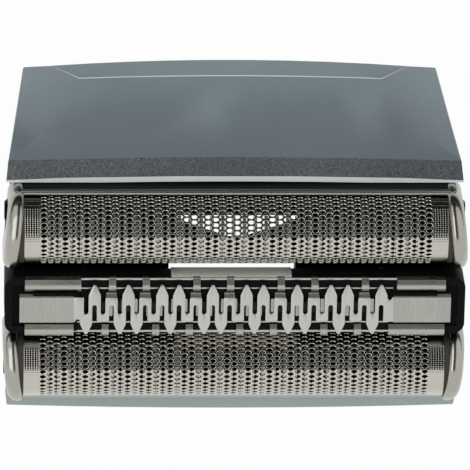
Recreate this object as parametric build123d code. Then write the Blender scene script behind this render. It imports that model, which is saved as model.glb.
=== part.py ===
from build123d import *
import os
from math import asin, cos, degrees, radians, sin

# Shaver foil head, a clip-on cassette: two floating foils over lamella cutters, a floating trimmer
# between them, and a painted skirt that stands on its rim. Millimetres, +Z up, +X along the foils,
# origin on the rim plane at the middle. Heights inside a foil or the trimmer count from the foil axis.

# Foils
foil_radius = 4.35
foil_wall = 0.1
foil_leg = 1.8
foil_end_strip = 2.0
foil_flats = 10
window_rows = 9
window_pitch = 5.4
window_length = 3.6
window_height = 0.95

# Plated foil frames
rail_wall = 0.65
rail_top = 0.25
inner_rail_drop = 0.6
frame_drop = 3.4
groove = 0.3
end_cap_width = 2.75
end_bow_radius = 110.0
crest_bevel = 0.62
crest_softening = 0.24
seat_overlap = 0.8
seat_wall = 0.6

# Cutter cradle and cutters
cradle_wall = 0.6
cradle_window_length = 17.6
cradle_window_depth = 5.2
spine_end_gap = 0.4
spine_depth = 5.2
spine_top = 0.6
spine_bottom = -1.7
socket_length = 15.0
socket_depth = 4.2
lamella_wall = 0.3
lamella_pitch = 1.75
lamella_leg = 0.6
lamella_hollow_top = 2.4
lamella_hollow_crown = 3.0
lamella_flats = 8
cutter_travel = 1.2

# Floating trimmer
comb_top = 4.1
comb_wall = 0.25
comb_end_setback = 1.85
comb_depth = 3.4
comb_plate_depth = 4.0
comb_plate_fold = 0.2
comb_pitch = 2.1
comb_pattern = "LSLSL"
comb_slot = 0.5
comb_slot_overrun = 0.63
comb_shoulder = 0.05
comb_tip_reach = 1.55
comb_tip_width = 0.36
comb_stub_setback = 0.1
comb_tab_width = 1.0
comb_tab_slope = 0.65
comb_tab_overhang = 1.95
comb_end_notch = 0.35
guard_step = 0.63
guard_wall = 0.25
guard_depth = 7.6
guard_end_setback = 2.5
guard_opening = 4.76
guard_strip = 0.22
guard_side_height = 3.8
guard_side_length = 15.2
guard_lip_height = 0.95
guard_end_bar = 1.0
trimmer_end_length = 57.4
trimmer_end_setback = 0.35
trimmer_end_corner = 1.4
trimmer_end_rim = 1.0
trimmer_end_recess = 0.5
carrier_wall = 0.9
carrier_drop = 3.0
pad_length = 7.2
blade_wall = 0.25
blade_end_gap = 0.85
blade_depth = 1.6
blade_tooth_pitch = 1.55
blade_tooth_width = 0.6
blade_tooth_reach = 0.65
blade_tooth_root = 0.2
blade_travel = 1.0
driver_place = -13.0
driver_length = 3.0
driver_depth = 2.2
driver_drop = 2.5
driver_fork = 1.4

# Housing skirt
lip_wall = 0.6
chamfer_out = 2.1
chamfer_down = 1.1
lip_drop = 2.75
skirt_height = 18.5
skirt_flare = 4.98
skirt_wall = 1.3
skirt_crown = 0.75
shoulder_crown = 0.45
cap_overhang = 0.55
lip_taper = 0.25
skirt_taper = 2.05
port_width = 18.0
port_height = 10.5
port_radius = 3.0
flare_length = 45.2
flare_slant = 3.5
flare_height = 2.3
flare_reach = 0.3
flare_step = 0.05
rib_wall = 1.2
rib_height = 4.0
rib_reach = 1.4
rib_places = (-20.0, -7.0, 7.0, 20.0)

# Black chassis
deck_wall = 1.5
deck_window_length = 16.0
deck_window_depth = 17.4
collar_wall = 1.2
collar_drop = 2.5
post_wall = 1.0
post_rise = 4.65
lug_width = 3.0
lug_offset = 1.5
lug_height = 1.0
lug_rise = 3.15
lug_reach = 0.2
middle_lug_setback = 0.4
post_shoulder = 0.4
trimmer_post_width = 3.8
trimmer_lug_width = 2.2

# Leaf springs
leaf_wall = 0.15
leaf_width = 2.4
cutter_leaf_length = 9.0
cutter_leaf_place = 15.0
float_leaf_length = 11.0
float_leaf_place = 16.0
trimmer_leaf_length = 5.6
trimmer_leaf_setback = 7.3
leaf_crown_share = 0.2

# Travels and clearances
float_travel = 2.0
trimmer_travel = 1.5
float_clearance = 0.45
frame_gap = 0.3
trimmer_gap = 0.32
guide_gap = 0.25
slide_gap = 0.15
seat_gap = 0.05
cut_gap = 0.1
deck_gap = 0.2

# Places worked out from the sizes above
frame_half = foil_radius + rail_wall
foil_offset = guard_depth / 2 + trimmer_gap + frame_half
frame_length = trimmer_end_length + 2 * trimmer_end_setback
cap_inner = frame_length / 2 - end_cap_width
foil_length = 2 * (cap_inner - groove)
perforated_length = foil_length - 2 * foil_end_strip
comb_length = trimmer_end_length - 2 * comb_end_setback
guard_length = trimmer_end_length - 2 * guard_end_setback
lip_half = foil_offset + frame_half + frame_gap + lip_wall
crease_half = lip_half + chamfer_out
rim_half = crease_half + skirt_flare
lip_length = frame_length - 2 * cap_overhang
crease_length = lip_length - 2 * lip_taper
rim_length = crease_length - 2 * skirt_taper
lip_height = skirt_height + chamfer_down
foil_height = lip_height + lip_drop
deck_top = foil_height - frame_drop - float_travel - float_clearance
deck_bottom = deck_top - deck_wall
cutter_radius = foil_radius - foil_wall - cut_gap
guard_top = comb_top - guard_step
guard_under = guard_top - guard_wall
comb_under = comb_top - comb_wall
blade_under = comb_under - slide_gap - blade_wall
lug_bottom = deck_top - foil_height + lug_rise
pad_start = comb_length / 2 - pad_length
comb_fingers = int(2 * pad_start / comb_pitch)
trimmer_leaf_place = trimmer_end_length / 2 - trimmer_leaf_setback
spine_length = 2 * (foil_length / 2 - seat_overlap - cutter_travel - spine_end_gap)
blade_length = 2 * (pad_start - blade_travel - blade_end_gap)
through = 80.0
margin = 1.0


def block(x_span, y_span, z_span):
    """Rectangular solid between three pairs of limits."""
    spans = (x_span, y_span, z_span)
    sizes = [high - low for low, high in spans]
    centre = [(high + low) / 2 for low, high in spans]
    return Pos(*centre) * Box(*sizes)


def both(half):
    """Pair of limits either side of zero."""
    return (-half, half)


def face_of(*lines):
    """Flat face inside a closed run of lines and arcs."""
    return make_face([edge for line in lines for edge in line.edges()])


def along_x(profile, length):
    """Solid of a YZ profile, drawn as (y, z), centred on X."""
    return extrude(Plane.YZ * profile, length / 2, both=True)


def arch_profile(radius, leg):
    """Half-round arch on straight legs, with its axis at the origin."""
    crown = ThreePointArc((radius, 0), (0, radius), (-radius, 0))
    legs = Polyline((-radius, 0), (-radius, -leg), (radius, -leg), (radius, 0))
    return face_of(crown, legs)


def end_bow(y):
    """How far the bowed ends of the head have drawn in at a distance from the middle plane."""
    return y * y / (2 * end_bow_radius)


def leaf_spring(length, rise):
    """Bent leaf with two feet at height zero and a flat crown, along X."""
    crown = length * leaf_crown_share / 2
    foot = length / 2
    shin = foot - crown
    slope = leaf_wall / 2
    upper = [(shin, leaf_wall), (crown + slope, rise), (-crown - slope, rise), (-shin, leaf_wall)]
    lower = [(-shin - slope, 0), (-crown, rise - leaf_wall), (crown, rise - leaf_wall), (shin + slope, 0)]
    left_toe = [(-foot, leaf_wall), (-foot, 0)]
    right_toe = [(foot, 0), (foot, leaf_wall)]
    outline = Polyline(*upper, *left_toe, *lower, *right_toe, close=True)
    return extrude(Plane.XZ * face_of(outline), leaf_width / 2, both=True)


def leaf_pair(length, rise, place, base):
    """Two like leaf springs either side of the middle, standing at one height."""
    spring = leaf_spring(length, rise)
    return Compound(children=[Pos(-place, 0, base) * spring, Pos(place, 0, base) * spring])


def bowed_outline(length, half_depth, crown, height):
    """Long plan section whose front and rear edges draw in by the crown at the stated length."""
    half_x = through / 2
    corner = half_depth - crown * (through / length) ** 2
    rear = ThreePointArc((half_x, corner), (0, half_depth), (-half_x, corner))
    left = Line((-half_x, corner), (-half_x, -corner))
    front = ThreePointArc((-half_x, -corner), (0, -half_depth), (half_x, -corner))
    right = Line((half_x, -corner), (half_x, corner))
    return Pos(0, 0, height) * face_of(rear, left, front, right)


def end_wedge(inset):
    """Room between the slanted ends of the skirt, set in from their outside."""
    halves = [length / 2 - inset for length in (rim_length, crease_length, lip_length)]
    right = list(zip(halves, (0, skirt_height, lip_height)))
    left = [(-x, z) for x, z in reversed(right)]
    return extrude(Plane.XZ * face_of(Polyline(*right, *left, close=True)), through, both=True)


def skirt_form(inset, lip_inset, shoulder):
    """Flared panels, shoulder chamfer and lip, set in from the outside of the skirt."""
    rim = bowed_outline(rim_length, rim_half - inset, skirt_crown, 0)
    crease = bowed_outline(crease_length, crease_half - inset, shoulder_crown, shoulder)
    lip = bowed_outline(lip_length, lip_half - lip_inset, shoulder_crown, lip_height)
    return loft([rim, crease, lip], ruled=True) & end_wedge(inset)


def hollow_half_depth(height):
    """Half depth of the hollow at the ends of the skirt, where the crown is least."""
    share = height / (skirt_height - skirt_wall / 2)
    rim = rim_half - skirt_wall - skirt_crown
    crease = crease_half - skirt_wall - shoulder_crown
    return rim + (crease - rim) * share


def hollow_half_length(height):
    """Half length of the hollow at a height below the shoulder."""
    share = height / skirt_height
    return (rim_length + (crease_length - rim_length) * share) / 2 - skirt_wall


def rim_flare():
    """Shallow flare along the rim of the rear panel, with slanted ends and a fine step at its edge."""
    rim_corner = flare_length / 2
    top_corner = rim_corner - flare_slant
    shape = Polyline(
        (-rim_corner, 0), (rim_corner, 0),
        (top_corner, flare_height), (-top_corner, flare_height), close=True,
    )
    prism = extrude(Plane.XZ * face_of(shape), -rim_half - margin)
    low_half = rim_half + flare_reach
    top_half = rim_half - skirt_flare * flare_height / skirt_height + flare_step
    low = bowed_outline(rim_length, low_half, skirt_crown, 0)
    high = bowed_outline(rim_length, 2 * top_half - low_half, skirt_crown, 2 * flare_height)
    return (prism & loft([low, high], ruled=True)) - skirt_form(skirt_wall / 2, lip_wall / 2, skirt_height)


def housing():
    """Painted skirt: front and rear panels, low end walls with button ports, ledge ribs inside."""
    inside_shoulder = skirt_height - skirt_wall / 2
    shell = skirt_form(0, 0, skirt_height) - skirt_form(skirt_wall, lip_wall, inside_shoulder)
    head_room = foil_offset + frame_half + frame_gap / 2
    shell -= block(both(through), both(head_room), (deck_top, through))
    shell -= along_x(RectangleRounded(port_width, 2 * port_height, port_radius), through)
    flare = rim_flare()
    shell += flare
    shell += mirror(flare, about=Plane.XZ)
    ledge = hollow_half_depth(deck_top) - deck_gap - rib_reach
    gusset = face_of(Polyline((ledge, deck_bottom), (ledge, deck_bottom - rib_height / 4),
                              (rim_half, deck_bottom - rib_height - rim_half + ledge),
                              (rim_half, deck_bottom), close=True))
    middle_of_wall = skirt_form(skirt_wall / 2, lip_wall / 2, skirt_height)
    for place in rib_places:
        rib = Pos(place, 0, 0) * along_x(gusset, rib_wall) & middle_of_wall
        shell += rib
        shell += mirror(rib, about=Plane.XZ)
    return shell


def driver_room():
    """Room that the trimmer's driver needs for its stroke, through everything above and below it."""
    half = driver_length / 2 + blade_travel + slide_gap
    half_depth = driver_depth / 2 + slide_gap
    return block((driver_place - half, driver_place + half), both(half_depth), both(through))


def chassis():
    """Black inner frame: deck with the drive window, collar below it, guide posts with stop lugs."""
    half_depth = hollow_half_depth(deck_top) - deck_gap
    half_length = hollow_half_length(deck_top) - deck_gap
    deck = block(both(half_length), both(half_depth), (deck_bottom, deck_top))
    window = block(both(deck_window_length / 2), both(deck_window_depth / 2), (0, through))
    collar = block(both(deck_window_length / 2 + collar_wall), both(deck_window_depth / 2 + collar_wall),
                   (deck_bottom - collar_drop, deck_bottom))
    body = deck + collar - window - driver_room()
    post_outer = cap_inner - guide_gap
    post_span = (post_outer - post_wall, post_outer)
    lug_top = deck_top + lug_rise + lug_height
    lug_place = foil_offset + lug_offset
    post_half = lug_width / 2 + post_shoulder
    lug_end = frame_length / 2 - end_bow(lug_place) + lug_reach
    post_top = deck_top + post_rise
    post = block(post_span, (lug_place - post_half, lug_place + post_half), (deck_top, post_top))
    lug = block((post_outer, lug_end), (lug_place - lug_width / 2, lug_place + lug_width / 2),
                (deck_top + lug_rise, lug_top))
    lug = chamfer(lug.edges().filter_by(Axis.Z).sort_by(Axis.X)[-2:], lug_height / 2)
    middle_post = block(post_span, both(trimmer_post_width / 2), (deck_top, post_top))
    middle_lug_end = trimmer_end_length / 2 - middle_lug_setback
    middle_lug = block((post_outer, middle_lug_end), both(trimmer_lug_width / 2),
                       (deck_top + lug_rise, lug_top))
    corner = post + lug
    end = corner + mirror(corner, about=Plane.XZ) + middle_post + middle_lug
    return body + end + mirror(end, about=Plane.YZ)


def end_cap():
    """Arched end cap, its crest eased in three bevels, turned to follow the bowed ends of the head."""
    cap = along_x(arch_profile(frame_half, frame_drop), 2 * end_cap_width)
    cap = chamfer(cap.edges().filter_by(GeomType.CIRCLE).sort_by(Axis.X)[-1], crest_bevel)
    cap = chamfer(cap.edges().filter_by(GeomType.CIRCLE).sort_by(Axis.X)[-2:], crest_softening)
    cap = Pos(-end_cap_width / 2, 0, 0) * cap
    turn = degrees(asin(foil_offset / end_bow_radius))
    middle_of_cap = frame_length / 2 - end_bow(foil_offset) - end_cap_width / 2
    cap = Pos(middle_of_cap, 0, 0) * Rot(Z=turn) * cap
    return cap - block((0, cap_inner), both(through), both(through))


def foil_frame():
    """Plated frame: arched end caps with windows for the stop lugs, foil seats, and rails between."""
    lug_half = lug_width / 2 + slide_gap
    lug_window = block((cap_inner - margin, frame_length), (lug_offset - lug_half, lug_offset + lug_half),
                       (lug_bottom - seat_gap, lug_bottom + lug_height + float_travel + slide_gap))
    seat_radius = foil_radius - foil_wall - seat_gap
    ring = foil_profile(seat_radius, 0) - foil_profile(seat_radius - seat_wall, 0)
    seat_start = foil_length / 2 - seat_overlap
    seat = extrude(Plane.YZ.offset(seat_start) * ring, cap_inner + seat_wall - seat_start)
    end = end_cap() - lug_window + seat
    rail_half = cap_inner + end_cap_width / 4
    outer_rail = block(both(rail_half), (foil_radius, frame_half), (-frame_drop, rail_top))
    inner_rail = block(both(rail_half), (-frame_half, -foil_radius), (-frame_drop, -inner_rail_drop))
    return end + mirror(end, about=Plane.YZ) + outer_rail + inner_rail


def foil_profile(radius, leg):
    """Foil arch bent in narrow flats that all touch one circle, on straight legs."""
    turn = 180.0 / foil_flats
    reach = radius / cos(radians(turn / 2))
    angles = [turn * (step + 0.5) for step in range(foil_flats)]
    crown = [(reach * cos(radians(angle)), reach * sin(radians(angle))) for angle in angles]
    return face_of(Polyline((radius, -leg), *crown, (-radius, -leg), close=True))


def foil():
    """Thin arched foil with staggered six-sided windows, one row to a flat, and plain end strips."""
    outer, inner = (foil_profile(radius, foil_leg) for radius in (foil_radius, foil_radius - foil_wall))
    sheet = along_x(outer - inner, foil_length)
    half, shoulder, side = window_length / 2, window_length / 4, window_height / 2
    hexagon = Polyline((half, 0), (shoulder, side), (-shoulder, side),
                       (-half, 0), (-shoulder, -side), (shoulder, -side), close=True)
    punch = extrude(Pos(0, 0, foil_radius - 3 * foil_wall) * face_of(hexagon), 6 * foil_wall)
    columns = int((perforated_length - window_length) / window_pitch)
    punches = []
    for row in range(window_rows):
        angle = (row - (window_rows - 1) / 2) * 180.0 / foil_flats
        count = columns + 1 - row % 2
        for column in range(count):
            place = (column - (count - 1) / 2) * window_pitch
            punches.append(Rot(X=angle) * Pos(place, 0, 0) * punch)
    return sheet - punches


def cutter_cradle():
    """Plate across the bottom of a foil frame that the cutter springs stand on."""
    half_depth = foil_radius - seat_gap
    plate = block(both(cap_inner - guide_gap - post_wall - slide_gap), both(half_depth),
                  (-frame_drop, cradle_wall - frame_drop))
    return plate - block(both(cradle_window_length / 2), both(cradle_window_depth / 2), both(through))


def cutter_spine():
    """Moulded beam under the lamellae, with a socket for the drive carriage."""
    beam = block(both(spine_length / 2), both(spine_depth / 2), (spine_bottom, spine_top))
    beam = chamfer(beam.edges().filter_by(Axis.Y), lamella_wall)
    return beam - block(both(socket_length / 2), both(socket_depth / 2), both(through))


def lamella():
    """One steel lamella: ground round its crown, hollow underneath where it straddles the spine."""
    sweep = [180.0 * step / lamella_flats for step in range(lamella_flats + 1)]
    crown = [(cutter_radius * cos(radians(angle)), cutter_radius * sin(radians(angle))) for angle in sweep]
    inner = spine_depth / 2
    roof = lamella_hollow_crown / 2
    hollow = [(-inner, -lamella_leg), (-inner, spine_top), (-roof, lamella_hollow_top),
              (roof, lamella_hollow_top), (inner, spine_top), (inner, -lamella_leg)]
    feet = [(-cutter_radius, -lamella_leg)], [(cutter_radius, -lamella_leg)]
    outline = Polyline(*crown, *feet[0], *hollow, *feet[1], close=True)
    return along_x(face_of(outline), lamella_wall)


def cutter_blades():
    """Row of lamellae along the spine."""
    count = int(spine_length / lamella_pitch)
    blade = lamella()
    places = [(index - (count - 1) / 2) * lamella_pitch for index in range(count)]
    return Compound(children=[Pos(place, 0, 0) * blade for place in places])


def cutter_springs():
    """Two leaf springs between cradle and spine."""
    base = cradle_wall - frame_drop
    return leaf_pair(cutter_leaf_length, spine_bottom - base - seat_gap, cutter_leaf_place, base)


def float_springs():
    """Two leaf springs between deck and cradle, which let a foil float."""
    base = deck_top - foil_height
    return leaf_pair(float_leaf_length, -frame_drop - base - seat_gap, float_leaf_place, base)


def trimmer_comb():
    """Serpentine lift comb: a strip slit from both sides, with long points and bent-down tabs."""
    half_depth = comb_depth / 2
    shoulder = half_depth + comb_shoulder
    finger_half = (comb_pitch - comb_slot) / 2
    slit_half = comb_slot / 2
    slit_end = -comb_slot_overrun
    slit_corner = comb_slot / 4
    tip_half = comb_tip_width / 2
    slit_top = shoulder + margin
    slit = face_of(Polyline(
        (slit_half, slit_end + slit_corner), (slit_half, slit_top), (-slit_half, slit_top),
        (-slit_half, slit_end + slit_corner), (-slit_corner, slit_end), (slit_corner, slit_end), close=True,
    ))
    tip = shoulder + comb_tip_reach
    point = Polyline((finger_half, 0), (finger_half, shoulder), (tip_half, tip), (-tip_half, tip),
                     (-finger_half, shoulder), (-finger_half, 0), close=True)
    stub_end = half_depth - comb_stub_setback
    stub = Polyline((finger_half, 0), (finger_half, stub_end), (-finger_half, stub_end),
                    (-finger_half, 0), close=True)
    point_face, stub_face = face_of(point), face_of(stub)
    rear = Sketch()
    slits = Sketch()
    tabs = []
    tab_top = guard_top + comb_wall
    fold = stub_end + comb_tab_slope
    tab_end = half_depth + comb_tab_overhang
    tab = along_x(face_of(Polyline(
        (stub_end - comb_wall, comb_under), (stub_end - comb_wall, comb_top), (stub_end, comb_top),
        (fold, tab_top), (tab_end, tab_top), (tab_end, guard_top), (fold, guard_top),
        (stub_end, comb_under), close=True,
    )), comb_tab_width)
    for index in range(comb_fingers):
        place = (index - (comb_fingers - 1) / 2) * comb_pitch + comb_pitch / 4
        bent = comb_pattern[index % len(comb_pattern)] == "S"
        rear += Pos(place, 0) * (stub_face if bent else point_face)
        slits += Pos(place - comb_pitch / 2, 0) * slit
        if bent:
            tabs.append(Pos(place, 0, 0) * tab)
    last = (comb_fingers / 2) * comb_pitch + comb_pitch / 4
    slits += Pos(last, stub_end - comb_end_notch + comb_slot_overrun) * slit
    strip = Rectangle(2 * pad_start, 2 * stub_end)
    outline = strip + rear + Rot(Z=180) * rear - slits - Rot(Z=180) * slits
    plate = extrude(Pos(0, 0, comb_under) * outline, comb_wall)
    end_plate = block((pad_start, comb_length / 2), both(comb_plate_depth / 2), (comb_under, comb_top))
    end_plate = chamfer(end_plate.edges().filter_by(Axis.X).sort_by(Axis.Z)[-2:], comb_plate_fold)
    plate = plate + end_plate + mirror(end_plate, about=Plane.YZ)
    for bent_tab in tabs:
        plate += bent_tab
        plate += Rot(Z=180) * bent_tab
    return plate


def trimmer_guard():
    """Folded steel guard: two rails with a long window each, sides down, open along the middle."""
    half = guard_depth / 2
    ends = guard_length / 2
    flange = block(both(ends), both(half), (guard_top - guard_side_height, guard_top))
    flange = fillet(flange.edges().filter_by(Axis.X).sort_by(Axis.Z)[-2:], guard_wall)
    flange -= block(both(through), both(half - guard_wall), (-through, guard_under))
    flange -= block(both(ends - guard_end_bar), both(guard_opening / 2), both(through))
    lip_bottom = guard_top - guard_lip_height
    side_room = block((guard_side_length / 2, through), both(through), (-through, lip_bottom))
    flange = flange - side_room - mirror(side_room, about=Plane.YZ)
    slot_inner = guard_opening / 2 + guard_strip
    slot = block(both(pad_start), (slot_inner, half - guard_wall), (guard_under - guard_wall, through))
    return flange - slot - mirror(slot, about=Plane.XZ)


def trimmer_carrier():
    """Black carrier under the guard: a channel under the blade, end blocks over the posts, rounded ends."""
    inside = guard_depth / 2 - guard_wall - seat_gap
    floor = guard_top - guard_side_height
    bed_top = guard_under - seat_gap
    bed = bed_top - carrier_wall
    end = trimmer_end_length / 2
    guard_end = guard_length / 2 + seat_gap
    channel = block(both(pad_start + margin), both(inside), (floor, bed_top))
    channel -= block(both(through), both(inside - carrier_wall), (-through, bed))
    channel -= driver_room()
    side_block = block((pad_start, guard_end), both(inside), (-carrier_drop, guard_under))
    pad_half = min(comb_plate_depth, guard_opening) / 2 - seat_gap
    pad = block((pad_start, guard_end - guard_end_bar - 2 * seat_gap), both(pad_half), (0, comb_under))
    knuckle = block((guard_end, end), both(guard_depth / 2), (-carrier_drop, guard_under))
    knuckle = fillet(knuckle.edges().filter_by(Axis.Z).sort_by(Axis.X)[-2:], trimmer_end_corner)
    rim_room = block((guard_end - margin, end - trimmer_end_rim), both(guard_depth / 2 - trimmer_end_rim),
                     (guard_under - trimmer_end_recess, through))
    knuckle -= rim_room
    post_outer = cap_inner - guide_gap
    pocket_top = deck_top + post_rise + trimmer_travel + slide_gap - foil_height
    post_half = trimmer_post_width / 2 + slide_gap
    pocket = block((post_outer - post_wall - slide_gap, post_outer + slide_gap), both(post_half),
                   (-through, pocket_top))
    lug_half = trimmer_lug_width / 2 + slide_gap
    lug_room = block((post_outer, end + margin), both(lug_half),
                     (lug_bottom - seat_gap, lug_bottom + lug_height + trimmer_travel + slide_gap))
    block_end = side_block + pad + knuckle - pocket - lug_room
    return block_end + mirror(block_end, about=Plane.YZ) + channel


def trimmer_blade():
    """Sliding blade under the comb, toothed along both edges."""
    count = int(blade_length / blade_tooth_pitch)
    root = blade_depth / 2
    tooth_half = blade_tooth_width / 2
    tooth = face_of(Polyline((-tooth_half, root - blade_tooth_root), (tooth_half, root - blade_tooth_root),
                             (tooth_half / 2, root + blade_tooth_reach),
                             (-tooth_half / 2, root + blade_tooth_reach), close=True))
    outline = Rectangle(blade_length, blade_depth)
    for index in range(count):
        place = (index - (count - 1) / 2) * blade_tooth_pitch
        outline += Pos(place, 0) * tooth
        outline += Rot(Z=180) * (Pos(-place, 0) * tooth)
    return extrude(Pos(0, 0, blade_under) * outline, blade_wall)


def trimmer_driver():
    """Driver block under the blade, forked for the drive arm."""
    half = driver_length / 2
    body = block((driver_place - half, driver_place + half), both(driver_depth / 2),
                 (-driver_drop, blade_under))
    fork = block((driver_place - driver_fork / 2, driver_place + driver_fork / 2), both(through),
                 (-through, -driver_fork / 2))
    return body - fork


def trimmer_springs():
    """Two leaf springs between deck and carrier, which let the trimmer float."""
    base = deck_top - foil_height
    return leaf_pair(trimmer_leaf_length, -carrier_drop - base - seat_gap, trimmer_leaf_place, base)


def write(name, shape):
    """Write one piece to its own file."""
    export_step(shape, os.path.join("parts", name + ".step"))


os.makedirs("parts", exist_ok=True)
write("housing", housing())
write("chassis", chassis())

station = Pos(0, foil_offset, foil_height)
foil_pieces = {
    "foil_frame": foil_frame,
    "foil": foil,
    "cutter_cradle": cutter_cradle,
    "cutter_spine": cutter_spine,
    "cutter_blades": cutter_blades,
    "cutter_springs": cutter_springs,
    "float_springs": float_springs,
}
for name, make in foil_pieces.items():
    piece = station * make()
    write("rear_" + name, piece)
    write("front_" + name, mirror(piece, about=Plane.XZ))

middle = Pos(0, 0, foil_height)
trimmer_pieces = {
    "trimmer_carrier": trimmer_carrier,
    "trimmer_guard": trimmer_guard,
    "trimmer_comb": trimmer_comb,
    "trimmer_blade": trimmer_blade,
    "trimmer_driver": trimmer_driver,
    "trimmer_springs": trimmer_springs,
}
for name, make in trimmer_pieces.items():
    write(name, middle * make())
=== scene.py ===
"""Looks of a shaver foil head: two perforated foils and a trimmer comb on a painted skirt.

The classes hold their sizes in millimetres, about the foil axis or the middle of the trimmer, and the
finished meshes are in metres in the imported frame. The studio's sizes are in metres. Rear is towards +Y.
"""

import logging
import math
from dataclasses import dataclass
from enum import Enum, IntEnum
from typing import Any, Iterable, Sequence

import bmesh
import bpy
from mathutils import Matrix, Vector


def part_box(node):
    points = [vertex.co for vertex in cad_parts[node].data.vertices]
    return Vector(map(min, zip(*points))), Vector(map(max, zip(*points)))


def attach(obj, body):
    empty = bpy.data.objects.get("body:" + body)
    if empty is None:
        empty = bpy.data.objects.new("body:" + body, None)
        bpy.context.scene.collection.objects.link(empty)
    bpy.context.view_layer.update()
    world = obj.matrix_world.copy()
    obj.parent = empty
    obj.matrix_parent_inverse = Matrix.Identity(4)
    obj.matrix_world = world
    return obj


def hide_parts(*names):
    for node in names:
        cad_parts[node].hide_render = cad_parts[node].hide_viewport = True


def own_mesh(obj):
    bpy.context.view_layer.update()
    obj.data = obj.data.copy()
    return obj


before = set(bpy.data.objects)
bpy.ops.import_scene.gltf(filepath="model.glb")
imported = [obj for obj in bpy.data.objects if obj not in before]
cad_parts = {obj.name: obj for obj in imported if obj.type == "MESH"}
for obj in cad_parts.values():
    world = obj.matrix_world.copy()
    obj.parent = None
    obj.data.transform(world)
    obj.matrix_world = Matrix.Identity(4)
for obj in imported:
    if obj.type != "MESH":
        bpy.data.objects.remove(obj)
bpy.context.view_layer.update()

LOG = logging.getLogger("foil_head")
MM = 0.001
TOLERANCE = 0.004
FLAT_ANGLE = 0.3
ALIGNED_SHARE = 0.999
NOISE_SPAN = (0.3, 0.7)
GRAIN_SPAN = (0.25, 0.75)
GRAIN_DETAIL = 3.0

Colour = tuple[float, float, float, float]
Geometry = list[Any]


class Side(Enum):
    """Which of the two foils a piece belongs to, with its direction along Y."""

    REAR = 1
    FRONT = -1

    @property
    def prefix(self) -> str:
        """First word of this side's node and body names."""
        return self.name.lower()


class Slot(Enum):
    """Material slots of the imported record."""

    PAINT = "skirt_paint"
    PLASTIC = "black_plastic"
    PLATING = "plated_frame"
    FOIL = "foil_nickel"
    BLADE = "blade_steel"
    TRIMMER = "trimmer_steel"
    SPRING = "spring_steel"


class SkirtZone(IntEnum):
    """Zones of the skirt that have a finish of their own, by material index."""

    PANEL = 0
    REAR_SHOULDER = 1
    # The lip and the steps round the flares, which carry a painted highlight.
    LIP = 2
    INSIDE = 3
    # The front shoulder, painted lighter than the rear one as painted light.
    FRONT_SHOULDER = 4


def carried_over(tree: bpy.types.NodeTree, value: bpy.types.NodeSocket, low: float, high: float,
                 start: float = 0.0, end: float = 1.0) -> bpy.types.NodeSocket:
    """Carries one range of values over to another.

    Args:
        tree: Node tree.
        value: Value to carry over.
        low: What the start becomes.
        high: What the end becomes.
        start: Value where the range starts.
        end: Value where it ends.

    Returns:
        The new value, held between low and high.
    """
    node = tree.nodes.new("ShaderNodeMapRange")
    tree.links.new(value, node.inputs["Value"])
    for name, number in (("From Min", start), ("From Max", end), ("To Min", low), ("To Max", high)):
        node.inputs[name].default_value = number
    return node.outputs["Result"]


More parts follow.
